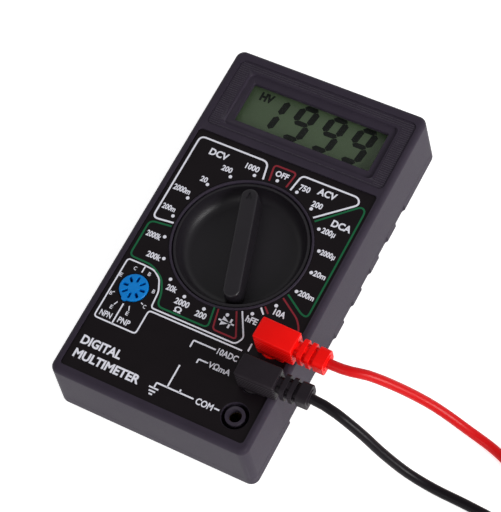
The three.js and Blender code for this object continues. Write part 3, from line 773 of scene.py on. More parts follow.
@dataclass
class Lead:
    """A test lead from its plug to its probe: cable, coil tie, probe handle and probe tip."""

    side: Side
    plug_body: Body
    sheath: Finish
    grip: Finish
    slot: str
    grip_slot: str
    out: tuple[tuple[float, float, float], ...]
    winding: Winding
    back: tuple[tuple[float, float, float], ...]
    probe: tuple[float, float, int]
    length: float = 0.78
    diameter: float = 3.2
    stretch: float = 30.0
    coil_inner: float = 12.6
    coil_outer: float = 22.4
    coil_height: float = 6.6
    tie_thickness: float = 0.4
    tie_width: float = 5.0
    tie_slack: float = 0.9
    tie_corner: float = 1.6
    probe_axis: float = 6.2
    probe_length: float = 84.0
    tip_length: float = 26.0

    def path(self) -> list[Vector]:
        """Axis of the cable from plug to probe."""
        out = [Vector(point) for point in self.out]
        back = [Vector(point) for point in self.back]
        winding = self.winding.path()
        lead_in = smooth_path([*out, winding[0], winding[1]], LAID_STEP)
        lead_out = smooth_path([winding[-2], winding[-1], *back], LAID_STEP)
        near = next(i for i, point in enumerate(lead_in) if (point - winding[0]).length < 1e-4)
        far = next(i for i, point in enumerate(lead_out) if (point - winding[-1]).length < 1e-4)
        return lead_in[:near] + winding + lead_out[far + 1:]

    def cable(self) -> bpy.types.Object:
        """Builds the cable as one tube along its path, from the plug to the probe."""
        path = self.path()
        name = self.side.value
        piece = softened(Solid().swept(path, self.diameter / 2, 16).made(f"{name}_cable"), 0)
        shown(piece, None, self.slot, self.sheath, f"{name}_lead", f"{name}_coil", f"{name}_lead_end")
        start = path[0] * MM
        end = min(path, key=lambda point: abs((point - path[0]).length - self.stretch)) * MM
        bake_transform(piece)
        return piece

    def tie(self) -> bpy.types.Object:
        """Builds the strap round the coil."""
        section = self.coil_outer - self.coil_inner + self.tie_slack
        middle = (self.coil_inner + self.coil_outer) / 2
        height = self.tie_thickness + 0.1 + self.coil_height / 2
        inner = rounded_rect(section, self.coil_height + 0.4, self.tie_corner, steps=5)
        outer = rounded_rect(
            section + 2 * self.tie_thickness, self.coil_height + 0.2 + 2 * self.tie_thickness,
            self.tie_corner + self.tie_thickness, steps=5)
        x, y = self.winding.x + middle, self.winding.y
        half = self.tie_width / 2
        stand = Matrix.Translation((x, y, height)) @ Matrix.Rotation(math.pi / 2, 4, "X")
        strap = Solid().prism(outer, -half, half).moved(stand).made(f"{self.side.value}_tie")
        hole = Solid().prism(inner, -half - 1, half + 1).moved(stand)
        carved(strap, removed=[hole])
        softened(strap, 0.12, 2)
        return shown(strap, Body.METER, "tie_strap", STRAP_NYLON, f"{self.side.value}_coil_tie")

    def probe_profile(self) -> list[Point2]:
        """Radius and distance along the handle, from the lead's end to the tip's end."""
        end = self.probe_length
        profile = [(0.0, 0.0), (2.2, 0.0), *eased((2.2, 0.0), (2.5, 0.5), 3)]
        for groove in range(4):
            start = 1.6 + groove * 1.9
            profile += [(2.6, start), (2.15, start + 0.35), (2.15, start + 0.95), (2.7, start + 1.3)]
        profile += [(2.9, 9.4), *eased((4.6, 10.2), (6.2, 12.0), 4), (6.2, 13.4),
                    *eased((6.2, 14.0), (5.0, 17.6), 4)]
        grip_start, grip_end, rings = end - 46, end - 20, 13
        profile += [(4.6, 30.0), (4.4, grip_start - 1)]
        for ring in range(rings):
            at = grip_start + (grip_end - grip_start) * ring / rings
            profile += [(4.4, at), (4.75, at + 0.45), (4.75, at + 1.0), (4.4, at + 1.45)]
        profile += [(4.4, grip_end + 0.6), (4.9, end - 17), *eased((5.0, end - 15.6), (6.2, end - 13.2), 4),
                    (6.2, end - 11.6), *eased((6.2, end - 11.0), (3.8, end - 9.0), 4),
                    (3.4, end - 7.5), (2.8, end - 1.2), *eased((2.7, end - 0.6), (2.1, end), 3), (0.0, end)]
        return profile

    def probe_pieces(self) -> list[bpy.types.Object]:
        """Builds the probe's handle and its steel tip."""
        x, y, facing = self.probe
        name = self.side.value
        lay = (Matrix.Translation((x, y, self.probe_axis))
               @ Matrix.Rotation(-facing * math.pi / 2, 4, "X"))
        handle = softened(Solid().turned(self.probe_profile(), 40).moved(lay).made(f"{name}_handle"), 0)
        end = self.probe_length
        point = end + self.tip_length
        tip_profile = [(0.0, end + 0.3), (1.0, end + 0.3), (1.0, point - 4.0), (0.8, point - 2.6),
                       (0.35, point - 0.9), (0.12, point - 0.1), (0.0, point)]
        tip = softened(Solid().turned(tip_profile, 24).moved(lay).made(f"{name}_needle"), 0)
        shown(handle, Body.METER, self.grip_slot, self.grip, f"{name}_probe_handle")
        shown(tip, Body.METER, "steel", STEEL, f"{name}_probe_tip")
        return [handle, tip]

    def build(self, plug: Sequence[bpy.types.Object]) -> None:
        """Args:
            plug: The pieces of the plug that the cable leaves. Not used.
        """
        cable = self.cable()
        pieces = [self.tie(), *self.probe_pieces()]
        self.path()[0] * MM
        self.diameter * MM
        [point * MM for point in self.path()]


@dataclass
class Plug:
    """A right-angled plug: grooved block with a skirt, ringed strain relief, shroud and pin."""

    side: Side
    body: Body
    finish: Finish
    slot: str
    y: float
    rest: float
    turn: float
    skirt: float
    skirt_length: float = 9.2
    behind: float = 3.75
    block_length: float = 12.9
    width: float = 7.3
    height: float = 9.2
    axis: float = 4.6
    corner: float = 0.5
    round_end: float = 0.45
    groove_start: float = 1.2
    groove_pitch: float = 1.3
    groove_depth: float = 0.35
    grooves: int = 5
    shroud_radius: float = 4.0
    shroud_bore: float = 2.9
    shroud_end: float = -8.0
    shroud_neck: float = 3.5
    pin_bore: float = 1.9
    entry_radius: float = 1.5
    relief_end: float = 10.5
    rings: tuple[tuple[float, float, float, float], ...] = (
        (1.5, 3.0, 7.0, 6.8), (4.2, 5.6, 7.0, 6.6), (6.8, 10.2, 6.8, 6.6))

    def section(self, inset: float) -> list[Point2]:
        """Cross-section of the block: rounded, with grip grooves along both sides."""
        half, top, corner = self.width / 2 - inset, self.height - inset, self.corner
        side = [*reversed(eased((half, inset + corner), (half - corner, inset), 4))]
        for index in range(self.grooves):
            low = self.groove_start + index * self.groove_pitch
            high = low + self.groove_pitch - 0.4
            side += [(half - self.groove_depth, low), (half, low + 0.2), (half, high - 0.2),
                     (half - self.groove_depth, high)]
        side += eased((half, top - corner), (half - corner, top), 4)
        return side + [(-y, z) for y, z in reversed(side)]

    def block(self) -> Solid:
        """The block, rounded at both ends."""
        rings = []
        for end, way in ((-self.behind, 1), (self.block_length - self.behind, -1)):
            for step in range(4)[::way]:
                angle = math.pi / 2 * step / 3
                x = end + way * self.round_end * (1 - math.cos(angle))
                inset = self.round_end * (1 - math.sin(angle))
                rings.append([Vector((x, y, z)) for y, z in self.section(inset)])
        return Solid().loft(rings)

    def slab(self, start: float, end: float, width: float, height: float, corner: float) -> Solid:
        """A rounded slab of the strain relief, across the cable's axis."""
        back = self.block_length - self.behind
        outline = rounded_rect(width, height, corner, steps=5)
        rings = [[Vector((back + x, y, self.axis + z)) for y, z in outline] for x in (start, end)]
        return Solid().loft(rings)

    def relief(self) -> list[Solid]:
        """The strain relief's core, rings, spine and web."""
        core = self.slab(-1, self.relief_end, 4.8, 4.6, 1.6)
        rings = [self.slab(*ring, 1.6) for ring in self.rings]
        spine = self.slab(-0.4, 4.6, 2.3, 6.0, 0.4)
        web = self.slab(2.2, 7.4, 6.0, 1.9, 0.4)
        return [core, *rings, spine, web]

    def build(self) -> list[bpy.types.Object]:
        """Builds the plug and returns its body and pin."""
        name = self.side.value
        spot = turn_about(JACK_X, self.y, LABEL_TOP + self.rest, self.turn)
        sunk = -self.rest - 0.1
        outside, inside, neck = self.shroud_radius, self.shroud_bore, self.shroud_neck
        shroud = Solid().turned(
            [(inside, self.shroud_end), (outside, self.shroud_end), (outside, sunk - 0.3), (neck, sunk),
             (neck, 1.2), (inside, 1.2)], 40)
        core, *rest = [solid.moved(spot) for solid in self.relief()]
        relief = softened(carved(core.made("relief"), added=rest), 0.28, 3)
        bore = Solid().turned(
            [(0.0, -1.0), (self.pin_bore, -1.0), (self.pin_bore, 4.0), (0.0, 4.0)], 24)
        piece = self.block().moved(spot).made(f"{name}_plug")
        outline = rounded_rect(
            self.skirt_length, self.width - 0.1, 0.6, self.skirt_length / 2 - self.behind + 0.1, 0)
        skirt = Solid().prism(outline, -self.skirt, 1.0)
        carved(piece, added=[shroud.moved(spot), skirt.moved(spot)], removed=[bore.moved(spot)])
        join = piece.modifiers.new("join", "BOOLEAN")
        join.operation, join.solver, join.object = "UNION", "MANIFOLD", relief
        settled(piece)
        bpy.data.objects.remove(relief)
        back = self.block_length - self.behind
        entry = Solid().turned(
            [(0.0, 0.0), (self.entry_radius, 0.0), (self.entry_radius, 3.0), (0.0, 3.0)], 24)
        entry.moved(Matrix.Translation((back + self.relief_end - 1.5, 0, self.axis))
                    @ Matrix.Rotation(math.pi / 2, 4, "Y"))
        carved(piece, removed=[entry.moved(spot)])
        softened(piece, 0)
        shown(piece, self.body, self.slot, self.finish, f"{name}_plug_body")
        pin = Solid().turned(
            [(0.0, -14.0), (0.9, -14.0), *eased((1.3, -13.8), (1.75, -12.6), 3), (1.8, -9.0),
             (1.65, -8.6), (1.65, -8.0), (1.8, -7.6), (1.8, 3.8), (0.0, 3.8)], 32)
        pin_piece = softened(pin.moved(spot).made(f"{name}_pin"), 0)
        shown(pin_piece, self.body, "steel", STEEL, f"{name}_plug_pin")
        return [piece, pin_piece]


def plug_point(plug: Plug, along: float) -> tuple[float, float, float]:
    """Point on a plug's cable axis, at a distance from the pin."""
    turn = math.radians(plug.turn)
    return (
        JACK_X + along * math.cos(turn), plug.y + along * math.sin(turn),
        LABEL_TOP + plug.rest + plug.axis)


def test_leads() -> None:
    """Builds both leads with their plugs."""
    red_plug = Plug(Side.RED, Body.RED_PLUG, RED_PVC, "red_plastic", JACK_Y[2], 2.0, -1.5, 1.7)
    black_plug = Plug(Side.BLACK, Body.BLACK_PLUG, BLACK_PVC, "black_plastic", JACK_Y[1], 0.8, 1.0, 0.55)

    def laid(points: Sequence[tuple[float, float, float]]) -> tuple[tuple[float, float, float], ...]:
        """Moves points measured from the foot of the middle jack to the meter's frame."""
        return tuple((x + JACK_X, y + JACK_Y[1], z) for x, y, z in points)

    red = Lead(
        Side.RED, Body.RED_PLUG, RED_SHEATH, RED_PVC, "red_cable", "red_plastic",
        (plug_point(red_plug, 18.6), *laid([
            (20.8, 11.8, 30.1), (23.7, 11.9, 30.0), (26.7, 12.5, 29.4), (31.2, 14.2, 27.4),
            (39.4, 16.8, 20.8), (49.4, 19.0, 11.8), (60.9, 18.8, 4.2), (68.9, 17.5, 1.9),
            (74.7, 15.4, 1.7), (80.7, 12.4, 1.7)])),
        Winding(124.0, -12.0, 248.0, 5.3, 1),
        laid([(119.4, 33.5, 4.6), (119.4, 41.6, 1.9), (119.2, 52, 1.7), (118.9, 60, 1.7),
              (118.7, 68.5, 1.9), (120.8, 73.6, 2.5), (125.9, 75.7, 3.5), (131.0, 73.6, 4.7),
              (133.1, 68.5, 5.7), (132.8, 60.0, 6.2), (132.7, 40.0, 6.2), (132.7, 14.0, 6.2)]),
        (158.0, 23.0, -1))
    black = Lead(
        Side.BLACK, Body.BLACK_PLUG, BLACK_SHEATH, BLACK_PVC, "black_cable", "black_plastic",
        (plug_point(black_plug, 18.6), *laid([
            (20.8, 0.3, 28.2), (23.7, 0.2, 27.9), (27.8, -0.2, 26.6), (36.3, -0.9, 19.9),
            (41.8, -1.4, 14.0), (50.2, -1.6, 6.2), (58.8, -1.6, 2.3), (67.6, -1.8, 1.7),
            (75.7, -2.3, 1.7), (83.3, -2.9, 1.7)])),
        Winding(121.0, -64.0, 91.0, 5.25, -1),
        laid([(116.4, -30.5, 4.6), (116.4, -37.6, 1.9), (116.9, -44, 1.7), (120.7, -51, 1.7),
              (128.7, -55.2, 1.7), (137.7, -54, 2.6), (145.2, -48.6, 4.8), (146.2, -42.6, 6.1),
              (146.2, -15.0, 6.2), (146.2, 10.0, 6.2)]),
        (171.5, -79.0, 1))
    red.build(red_plug.build())
    black.build(black_plug.build())


# ---- Case ---------------------------------------------------------------------------------------


@dataclass
class Case:
    """The two shells, the film label and the ribbed panel round the display."""

    width: float = 70.0
    length: float = 127.2
    height: float = 24.0
    corner: float = 3.0
    draft: float = 1.0
    edge: float = 1.8
    wall: float = 2.0
    floor: float = 2.0
    ceiling: float = 21.5
    parting: float = 5.0
    seam: float = 0.1
    dial: Point2 = DIAL_PLACE
    dial_hole: float = 21.9
    collar: float = 22.7
    well: Point2 = (22.9, 24.3)
    well_foot: float = 12.9
    shoulder: float = 21.0
    label: tuple[float, float, float, float] = (63.4, 90.3, 1.2, -14.35)
    label_floor: float = 23.25
    panel: tuple[float, float, float, float, float] = (63.0, 26.0, 2.0, 0.5, 46.2)
    panel_floor: float = 23.6
    band: tuple[float, float, float, float, float] = (52.6, 19.8, 1.5, 0.5, 45.7)
    band_floor: float = 22.8
    opening: tuple[float, float, float, float, float] = (48.1, 14.6, 0.4, 0.5, 45.7)
    socket: Point2 = SOCKET_PLACE
    socket_hole: float = 4.95
    key_gap: float = 0.2
    screws: tuple[Point2, ...] = ((-29.0, 29.0), (29.0, 29.0))
    post_radius: float = 3.2
    board_post_radius: float = 2.0
    board_top: float = 12.6
    boss_radius: float = 5.6
    boss_foot: float = 13.55
    jack_ring: Point2 = (3.1, 4.3)
    jack_ring_floor: float = 14.85
    jack_hole: float = 2.05
    jack_bore: float = 2.55
    jack_bore_top: float = 21.0
    board_screws: tuple[Point2, ...] = ((-28.5, 20.0), (28.5, 20.0), (-28.5, -18.0), (28.5, -18.0))
    rear_post_radius: float = 3.9
    screw_sink: float = 3.0
    screw_hole: float = 1.4
    tab: tuple[float, float, float, float] = (8.0, 1.0, 18.0, -60.8)
    grips: int = 7
    grip_pitch: float = 12.4
    grip_width: float = 6.7
    grip_height: float = 4.5
    grip_depth: float = 1.0
    rib_pitch: float = 0.76
    rib_width: float = 0.4
    rib_rise: float = 0.15

    def leant(self, ring: Iterable[Vector]) -> list[Vector]:
        """Leans a ring's points in towards the face, as the mould's draft does."""
        made = []
        for point in ring:
            lean = self.draft * point.z / self.height
            made.append(Vector((
                point.x * (1 - lean / (self.width / 2)), point.y * (1 - lean / (self.length / 2)), point.z)))
        return made

    def outer_ring(self, height: float) -> list[Vector]:
        """Outline of the case's outside at a height."""
        gap = max(self.edge - height, height - (self.height - self.edge), 0.0)
        inset = self.edge - math.sqrt(max(self.edge ** 2 - gap ** 2, 0.0))
        outline = rounded_rect(
            self.width - 2 * inset, self.length - 2 * inset, self.corner - inset, steps=12)
        return self.leant(level(outline, height))

    def cavity(self, low: float, high: float) -> Solid:
        """The space inside, between two heights."""
        outline = rounded_rect(
            self.width - 2 * self.wall, self.length - 2 * self.wall, self.corner - self.wall, steps=6)
        return Solid().loft([self.leant(level(outline, z)) for z in (low, high)])

    def rounds(self, start: float, end: float) -> list[float]:
        """Heights of the rings that round an edge."""
        return [start + (end - start) * math.sin(math.pi / 2 * step / 6) for step in range(7)]

    def key_block(self, low: float, high: float) -> Solid:
        """Notch for the socket's key."""
        width, length, x, y = SOCKET_KEY
        outline = rounded_rect(
            width + 2 * self.key_gap, length + 2 * self.key_gap, width / 2, self.socket[0] + x,
            self.socket[1] + y, 5)
        return Solid().prism(outline, low, high)

    def front(self) -> None:
        """Builds the front shell."""
        top = self.height
        heights = [self.parting + self.seam, *self.rounds(top - self.edge, top)]
        shell = Solid().loft([self.outer_ring(z) for z in heights]).made("front_shell")
        carved(shell, removed=[self.cavity(self.parting - 1, self.ceiling)])
        root = self.ceiling + 0.7
        inside, outside = self.well
        ring = Solid().turned(
            [(inside, self.well_foot), (outside, self.well_foot), (outside, root), (inside, root)],
            96, *self.dial)
        posts = [Solid().prism(circle(self.post_radius, x, y, 24), self.parting + self.seam, root)
                 for x, y in self.screws]
        posts += [Solid().prism(circle(self.board_post_radius, x, y, 16), self.board_top, root)
                  for x, y in self.board_screws]
        posts += [Solid().prism(circle(self.boss_radius, JACK_X, y, 40), self.boss_foot, root)
                  for y in JACK_Y]
        rim = LABEL_TOP + 0.3
        above = top + 1
        label_width, label_length, label_corner, label_y = self.label
        removed = [
            Solid().prism(
                rounded_rect(label_width, label_length, label_corner, 0, label_y), self.label_floor,
                above),
            Solid().prism(rounded_rect(*self.panel), self.panel_floor, above),
            Solid().loft([level(rounded_rect(*self.band), self.band_floor), level(
                rounded_rect(self.band[0] + 1.6, self.band[1] + 1.6, 2.2, *self.band[3:]), above)]),
            Solid().loft([level(rounded_rect(*self.opening), self.ceiling - 1), level(
                rounded_rect(*self.opening), self.band_floor - 0.35), level(
                rounded_rect(self.opening[0] + 2.6, self.opening[1] + 2.6, 1.0, *self.opening[3:]),
                above)]),
            Solid().prism(circle(self.dial_hole, *self.dial, 96), self.shoulder, above),
            Solid().prism(circle(self.socket_hole, *self.socket, 48), self.ceiling - 1, above),
            self.key_block(self.ceiling - 1, above)]
        for y in JACK_Y:
            near, far = self.jack_ring
            removed.append(Solid().turned(
                [(near, self.jack_ring_floor), (far, self.jack_ring_floor), (far, above), (near, above)],
                48, JACK_X, y))
            removed.append(Solid().prism(circle(self.jack_hole, JACK_X, y, 32), 0, above))
            removed.append(Solid().prism(circle(self.jack_bore, JACK_X, y, 32), 0, self.jack_bore_top))
        removed += [Solid().prism(circle(1.2, x, y, 16), 0, 15) for x, y in self.screws]
        removed += [Solid().prism(circle(1.0, x, y, 16), 0, 17) for x, y in self.board_screws]
        carved(shell, added=[ring, *posts], removed=removed)
        collar = Solid().turned(
            [(self.dial_hole, self.ceiling + 0.4), (self.collar, self.ceiling + 0.4),
             (self.collar, rim - 0.35),
             *eased((self.collar, rim - 0.35), (self.collar - 0.4, rim), 3)[1:],
             *reversed(eased((self.dial_hole, rim - 0.25), (self.dial_hole + 0.3, rim), 3))],
            96, *self.dial)
        carved(shell, added=[collar])
        softened(shell, 0.14, 2)
        shown(shell, Body.METER, "case_plastic", CASE_PLASTIC, "front_case")

    def ribs(self) -> None:
        """Builds the fine ribs of the panel round the display."""
        width, length, corner, x, y = self.panel
        band_width, band_length = self.band[0] + 1.9, self.band[1] + 1.9
        count = int((length - 1.0) / self.rib_pitch)
        ribs = Solid()
        for row in range(count + 1):
            at = y + (row - count / 2) * self.rib_pitch
            reach = width / 2 - 0.5
            deep = abs(at - y) - (length / 2 - corner)
            if deep > 0:
                reach -= corner - math.sqrt(max(corner ** 2 - deep ** 2, 0.0))
            runs = [(x - reach, x + reach)]
            if abs(at - self.band[4]) < band_length / 2 + self.rib_width / 2:
                middle = self.band[3]
                runs = [(x - reach, middle - band_width / 2), (middle + band_width / 2, x + reach)]
            section = [(-self.rib_width / 2, -0.1), (self.rib_width / 2, -0.1),
                       (self.rib_width / 2, 0.02), (self.rib_width / 4, self.rib_rise),
                       (-self.rib_width / 4, self.rib_rise), (-self.rib_width / 2, 0.02)]
            for start, end in runs:
                ribs.loft([[Vector((place, at + across, self.panel_floor + up)) for across, up in section]
                           for place in (start, end)])
        piece = softened(ribs.made("panel_ribs"), 0, angle=50)
        shown(piece, Body.METER, "case_plastic", CASE_PLASTIC)

    def rear(self) -> None:
        """Builds the rear shell with its finger notches and screw wells."""
        heights = [self.edge - height for height in self.rounds(0.0, self.edge)]
        heights = sorted(heights) + [self.parting]
        heights[0] = 0.0
        shell = Solid().loft([self.outer_ring(z) for z in heights]).made("rear_shell")
        carved(shell, removed=[self.cavity(self.floor, self.parting + 1)])
        posts = [Solid().prism(circle(self.rear_post_radius, x, y, 32), 1.0, self.parting)
                 for x, y in self.screws]
        width, thickness, x, y = self.tab
        tabs = [Solid().prism(rounded_rect(width, thickness, 0.2, side * x, y, 2), 1.5, self.parting + 2)
                for side in (-1, 1)]
        removed = []
        for x, y in self.screws:
            removed.append(Solid().prism(circle(self.screw_sink, x, y, 40), -1, self.floor))
            removed.append(Solid().prism(circle(self.screw_hole, x, y, 20), -1, self.parting + 1))
        for notch in range(self.grips):
            y = (notch - (self.grips - 1) / 2) * self.grip_pitch
            for side in (-1, 1):
                cut = rounded_rect(
                    2 * self.grip_depth, self.grip_width, 0.9, side * self.width / 2, y, 6)
                removed.append(Solid().prism(cut, -1, self.grip_height))
        carved(shell, added=[*posts, *tabs], removed=removed)
        softened(shell, 0.2, 2)
        shown(shell, Body.METER, "case_plastic", CASE_PLASTIC, "rear_cover")

    def film(self) -> None:
        """Builds the film label with its openings."""
        width, length, corner, y = self.label
        gap = 0.15
        film = Solid().prism(
            rounded_rect(width - 2 * gap, length - 2 * gap, corner - gap, 0, y, 12),
            self.label_floor, LABEL_TOP).made("film_label")
        low, high = self.label_floor - 1, LABEL_TOP + 1
        holes = [
            Solid().prism(circle(self.collar + gap, *self.dial, 96), low, high),
            Solid().prism(circle(self.socket_hole, *self.socket, 48), low, high),
            self.key_block(low, high),
            *(Solid().prism(circle(4.45, JACK_X, at, 48), low, high) for at in JACK_Y)]
        carved(film, removed=holes)
        softened(film, 0.05, 1)
        shown(film, Body.METER, "label_print", LABEL_FILM, "face_label")

    def build(self) -> None:
        """Builds every piece of the case."""
        self.front()
        self.ribs()
        self.rear()
        self.film()


# ---- Printing -----------------------------------------------------------------------------------


def rounded_line(points: Sequence[Point2], fillet: float, steps: int = 6) -> list[Point2]:
    """Rounds the inner corners of a line.

    Args:
        points: The line's points.
        fillet: Length given up on each side of a corner.
        steps: Points in each corner.

    Returns:
        The rounded line.
    """
    made = [points[0]]
    for before, corner, after in zip(points, points[1:], points[2:]):
        at, back, ahead = Vector(corner), Vector(before), Vector(after)
        start = at + (back - at).normalized() * min(fillet, (back - at).length * 0.48)
        end = at + (ahead - at).normalized() * min(fillet, (ahead - at).length * 0.48)
        for step in range(steps + 1):
            share = step / steps
            spot = start.lerp(at, share).lerp(at.lerp(end, share), share)
            made.append((spot.x, spot.y))
    made.append(points[-1])
    return made


@dataclass
class PrintLayer:
    """One ink's printing, laid as a thin raised film on a flat face."""

    name: str
    ink: Finish
    bottom: float
    thickness: float = 0.03
    slot: str = "label_print"
    solid: Solid = field(default_factory=Solid)
    texts: list[tuple[str, float, float, float, float, float]] = field(default_factory=list)

    def line(self, points: Sequence[Point2], width: float = 0.55, fillet: float = 1.3) -> None:
        """Adds a line with rounded corners.

        Args:
            points: Its corners.
            width: Its width.
            fillet: Length of the rounding at each corner.
        """
        path = [Vector(point) for point in rounded_line(points, fillet)]
        left, right = [], []
        for index, point in enumerate(path):
            ahead = path[min(index + 1, len(path) - 1)] - path[max(index - 1, 0)]
            across = Vector((-ahead.y, ahead.x)).normalized() * width / 2
            left.append(point + across)
            right.append(point - across)
        rings = []
        for one, two in zip(left, right):
            low, high = self.bottom, self.bottom + self.thickness
            rings.append([Vector((one.x, one.y, low)), Vector((two.x, two.y, low)),
                          Vector((two.x, two.y, high)), Vector((one.x, one.y, high))])
        self.solid.loft(rings)

    def patch(self, outline: Sequence[Point2]) -> None:
        """Adds a filled outline."""
        self.solid.prism(outline, self.bottom, self.bottom + self.thickness)

    def text(
        self, words: str, left: float, right: float, low: float, high: float, weight: float = 0.03,
    ) -> None:
        """Adds lettering fitted to a box.

        Args:
            words: The letters.
            left: Box's left side.
            right: Box's right side.
            low: Box's lower side.
            high: Box's upper side.
            weight: How much the strokes are thickened, as a share of the letters' size.
        """
        self.texts.append((words, left, right, low, high, weight))

    def lettering(self) -> list[bpy.types.Object]:
        """Makes a mesh of each piece of lettering."""
        made = []
        for words, left, right, low, high, weight in self.texts:
            curve = bpy.data.curves.new("lettering", "FONT")
            curve.body = words
            curve.extrude = 0.5
            curve.offset = weight
            curve.resolution_u = 3
            text = bpy.data.objects.new("lettering", curve)
            bpy.context.scene.collection.objects.link(text)
            bpy.context.view_layer.update()
            graph = bpy.context.evaluated_depsgraph_get()
            mesh = bpy.data.meshes.new_from_object(text.evaluated_get(graph))
            bpy.data.objects.remove(text)
            xs = [vertex.co.x for vertex in mesh.vertices]
            ys = [vertex.co.y for vertex in mesh.vertices]
            across = (right - left) / (max(xs) - min(xs))
            along = (high - low) / (max(ys) - min(ys))
            for vertex in mesh.vertices:
                vertex.co = MM * Vector((
                    left + (vertex.co.x - min(xs)) * across, low + (vertex.co.y - min(ys)) * along,
                    self.bottom + (vertex.co.z + 0.5) * self.thickness))
            letters = bpy.data.objects.new("lettering", mesh)
            bpy.context.scene.collection.objects.link(letters)
            made.append(letters)
        return made

    def build(self) -> bpy.types.Object:
        """Joins lines, patches and lettering into one piece."""
        base = self.solid.made(self.name)
        letters = self.lettering()
        work = bmesh.new()
        work.from_mesh(base.data)
        for text in letters:
            work.from_mesh(text.data)
            bpy.data.objects.remove(text)
        bmesh.ops.remove_doubles(work, verts=work.verts, dist=1e-7)
        work.to_mesh(base.data)
        work.free()
        return shown(base, Body.METER, self.slot, self.ink)


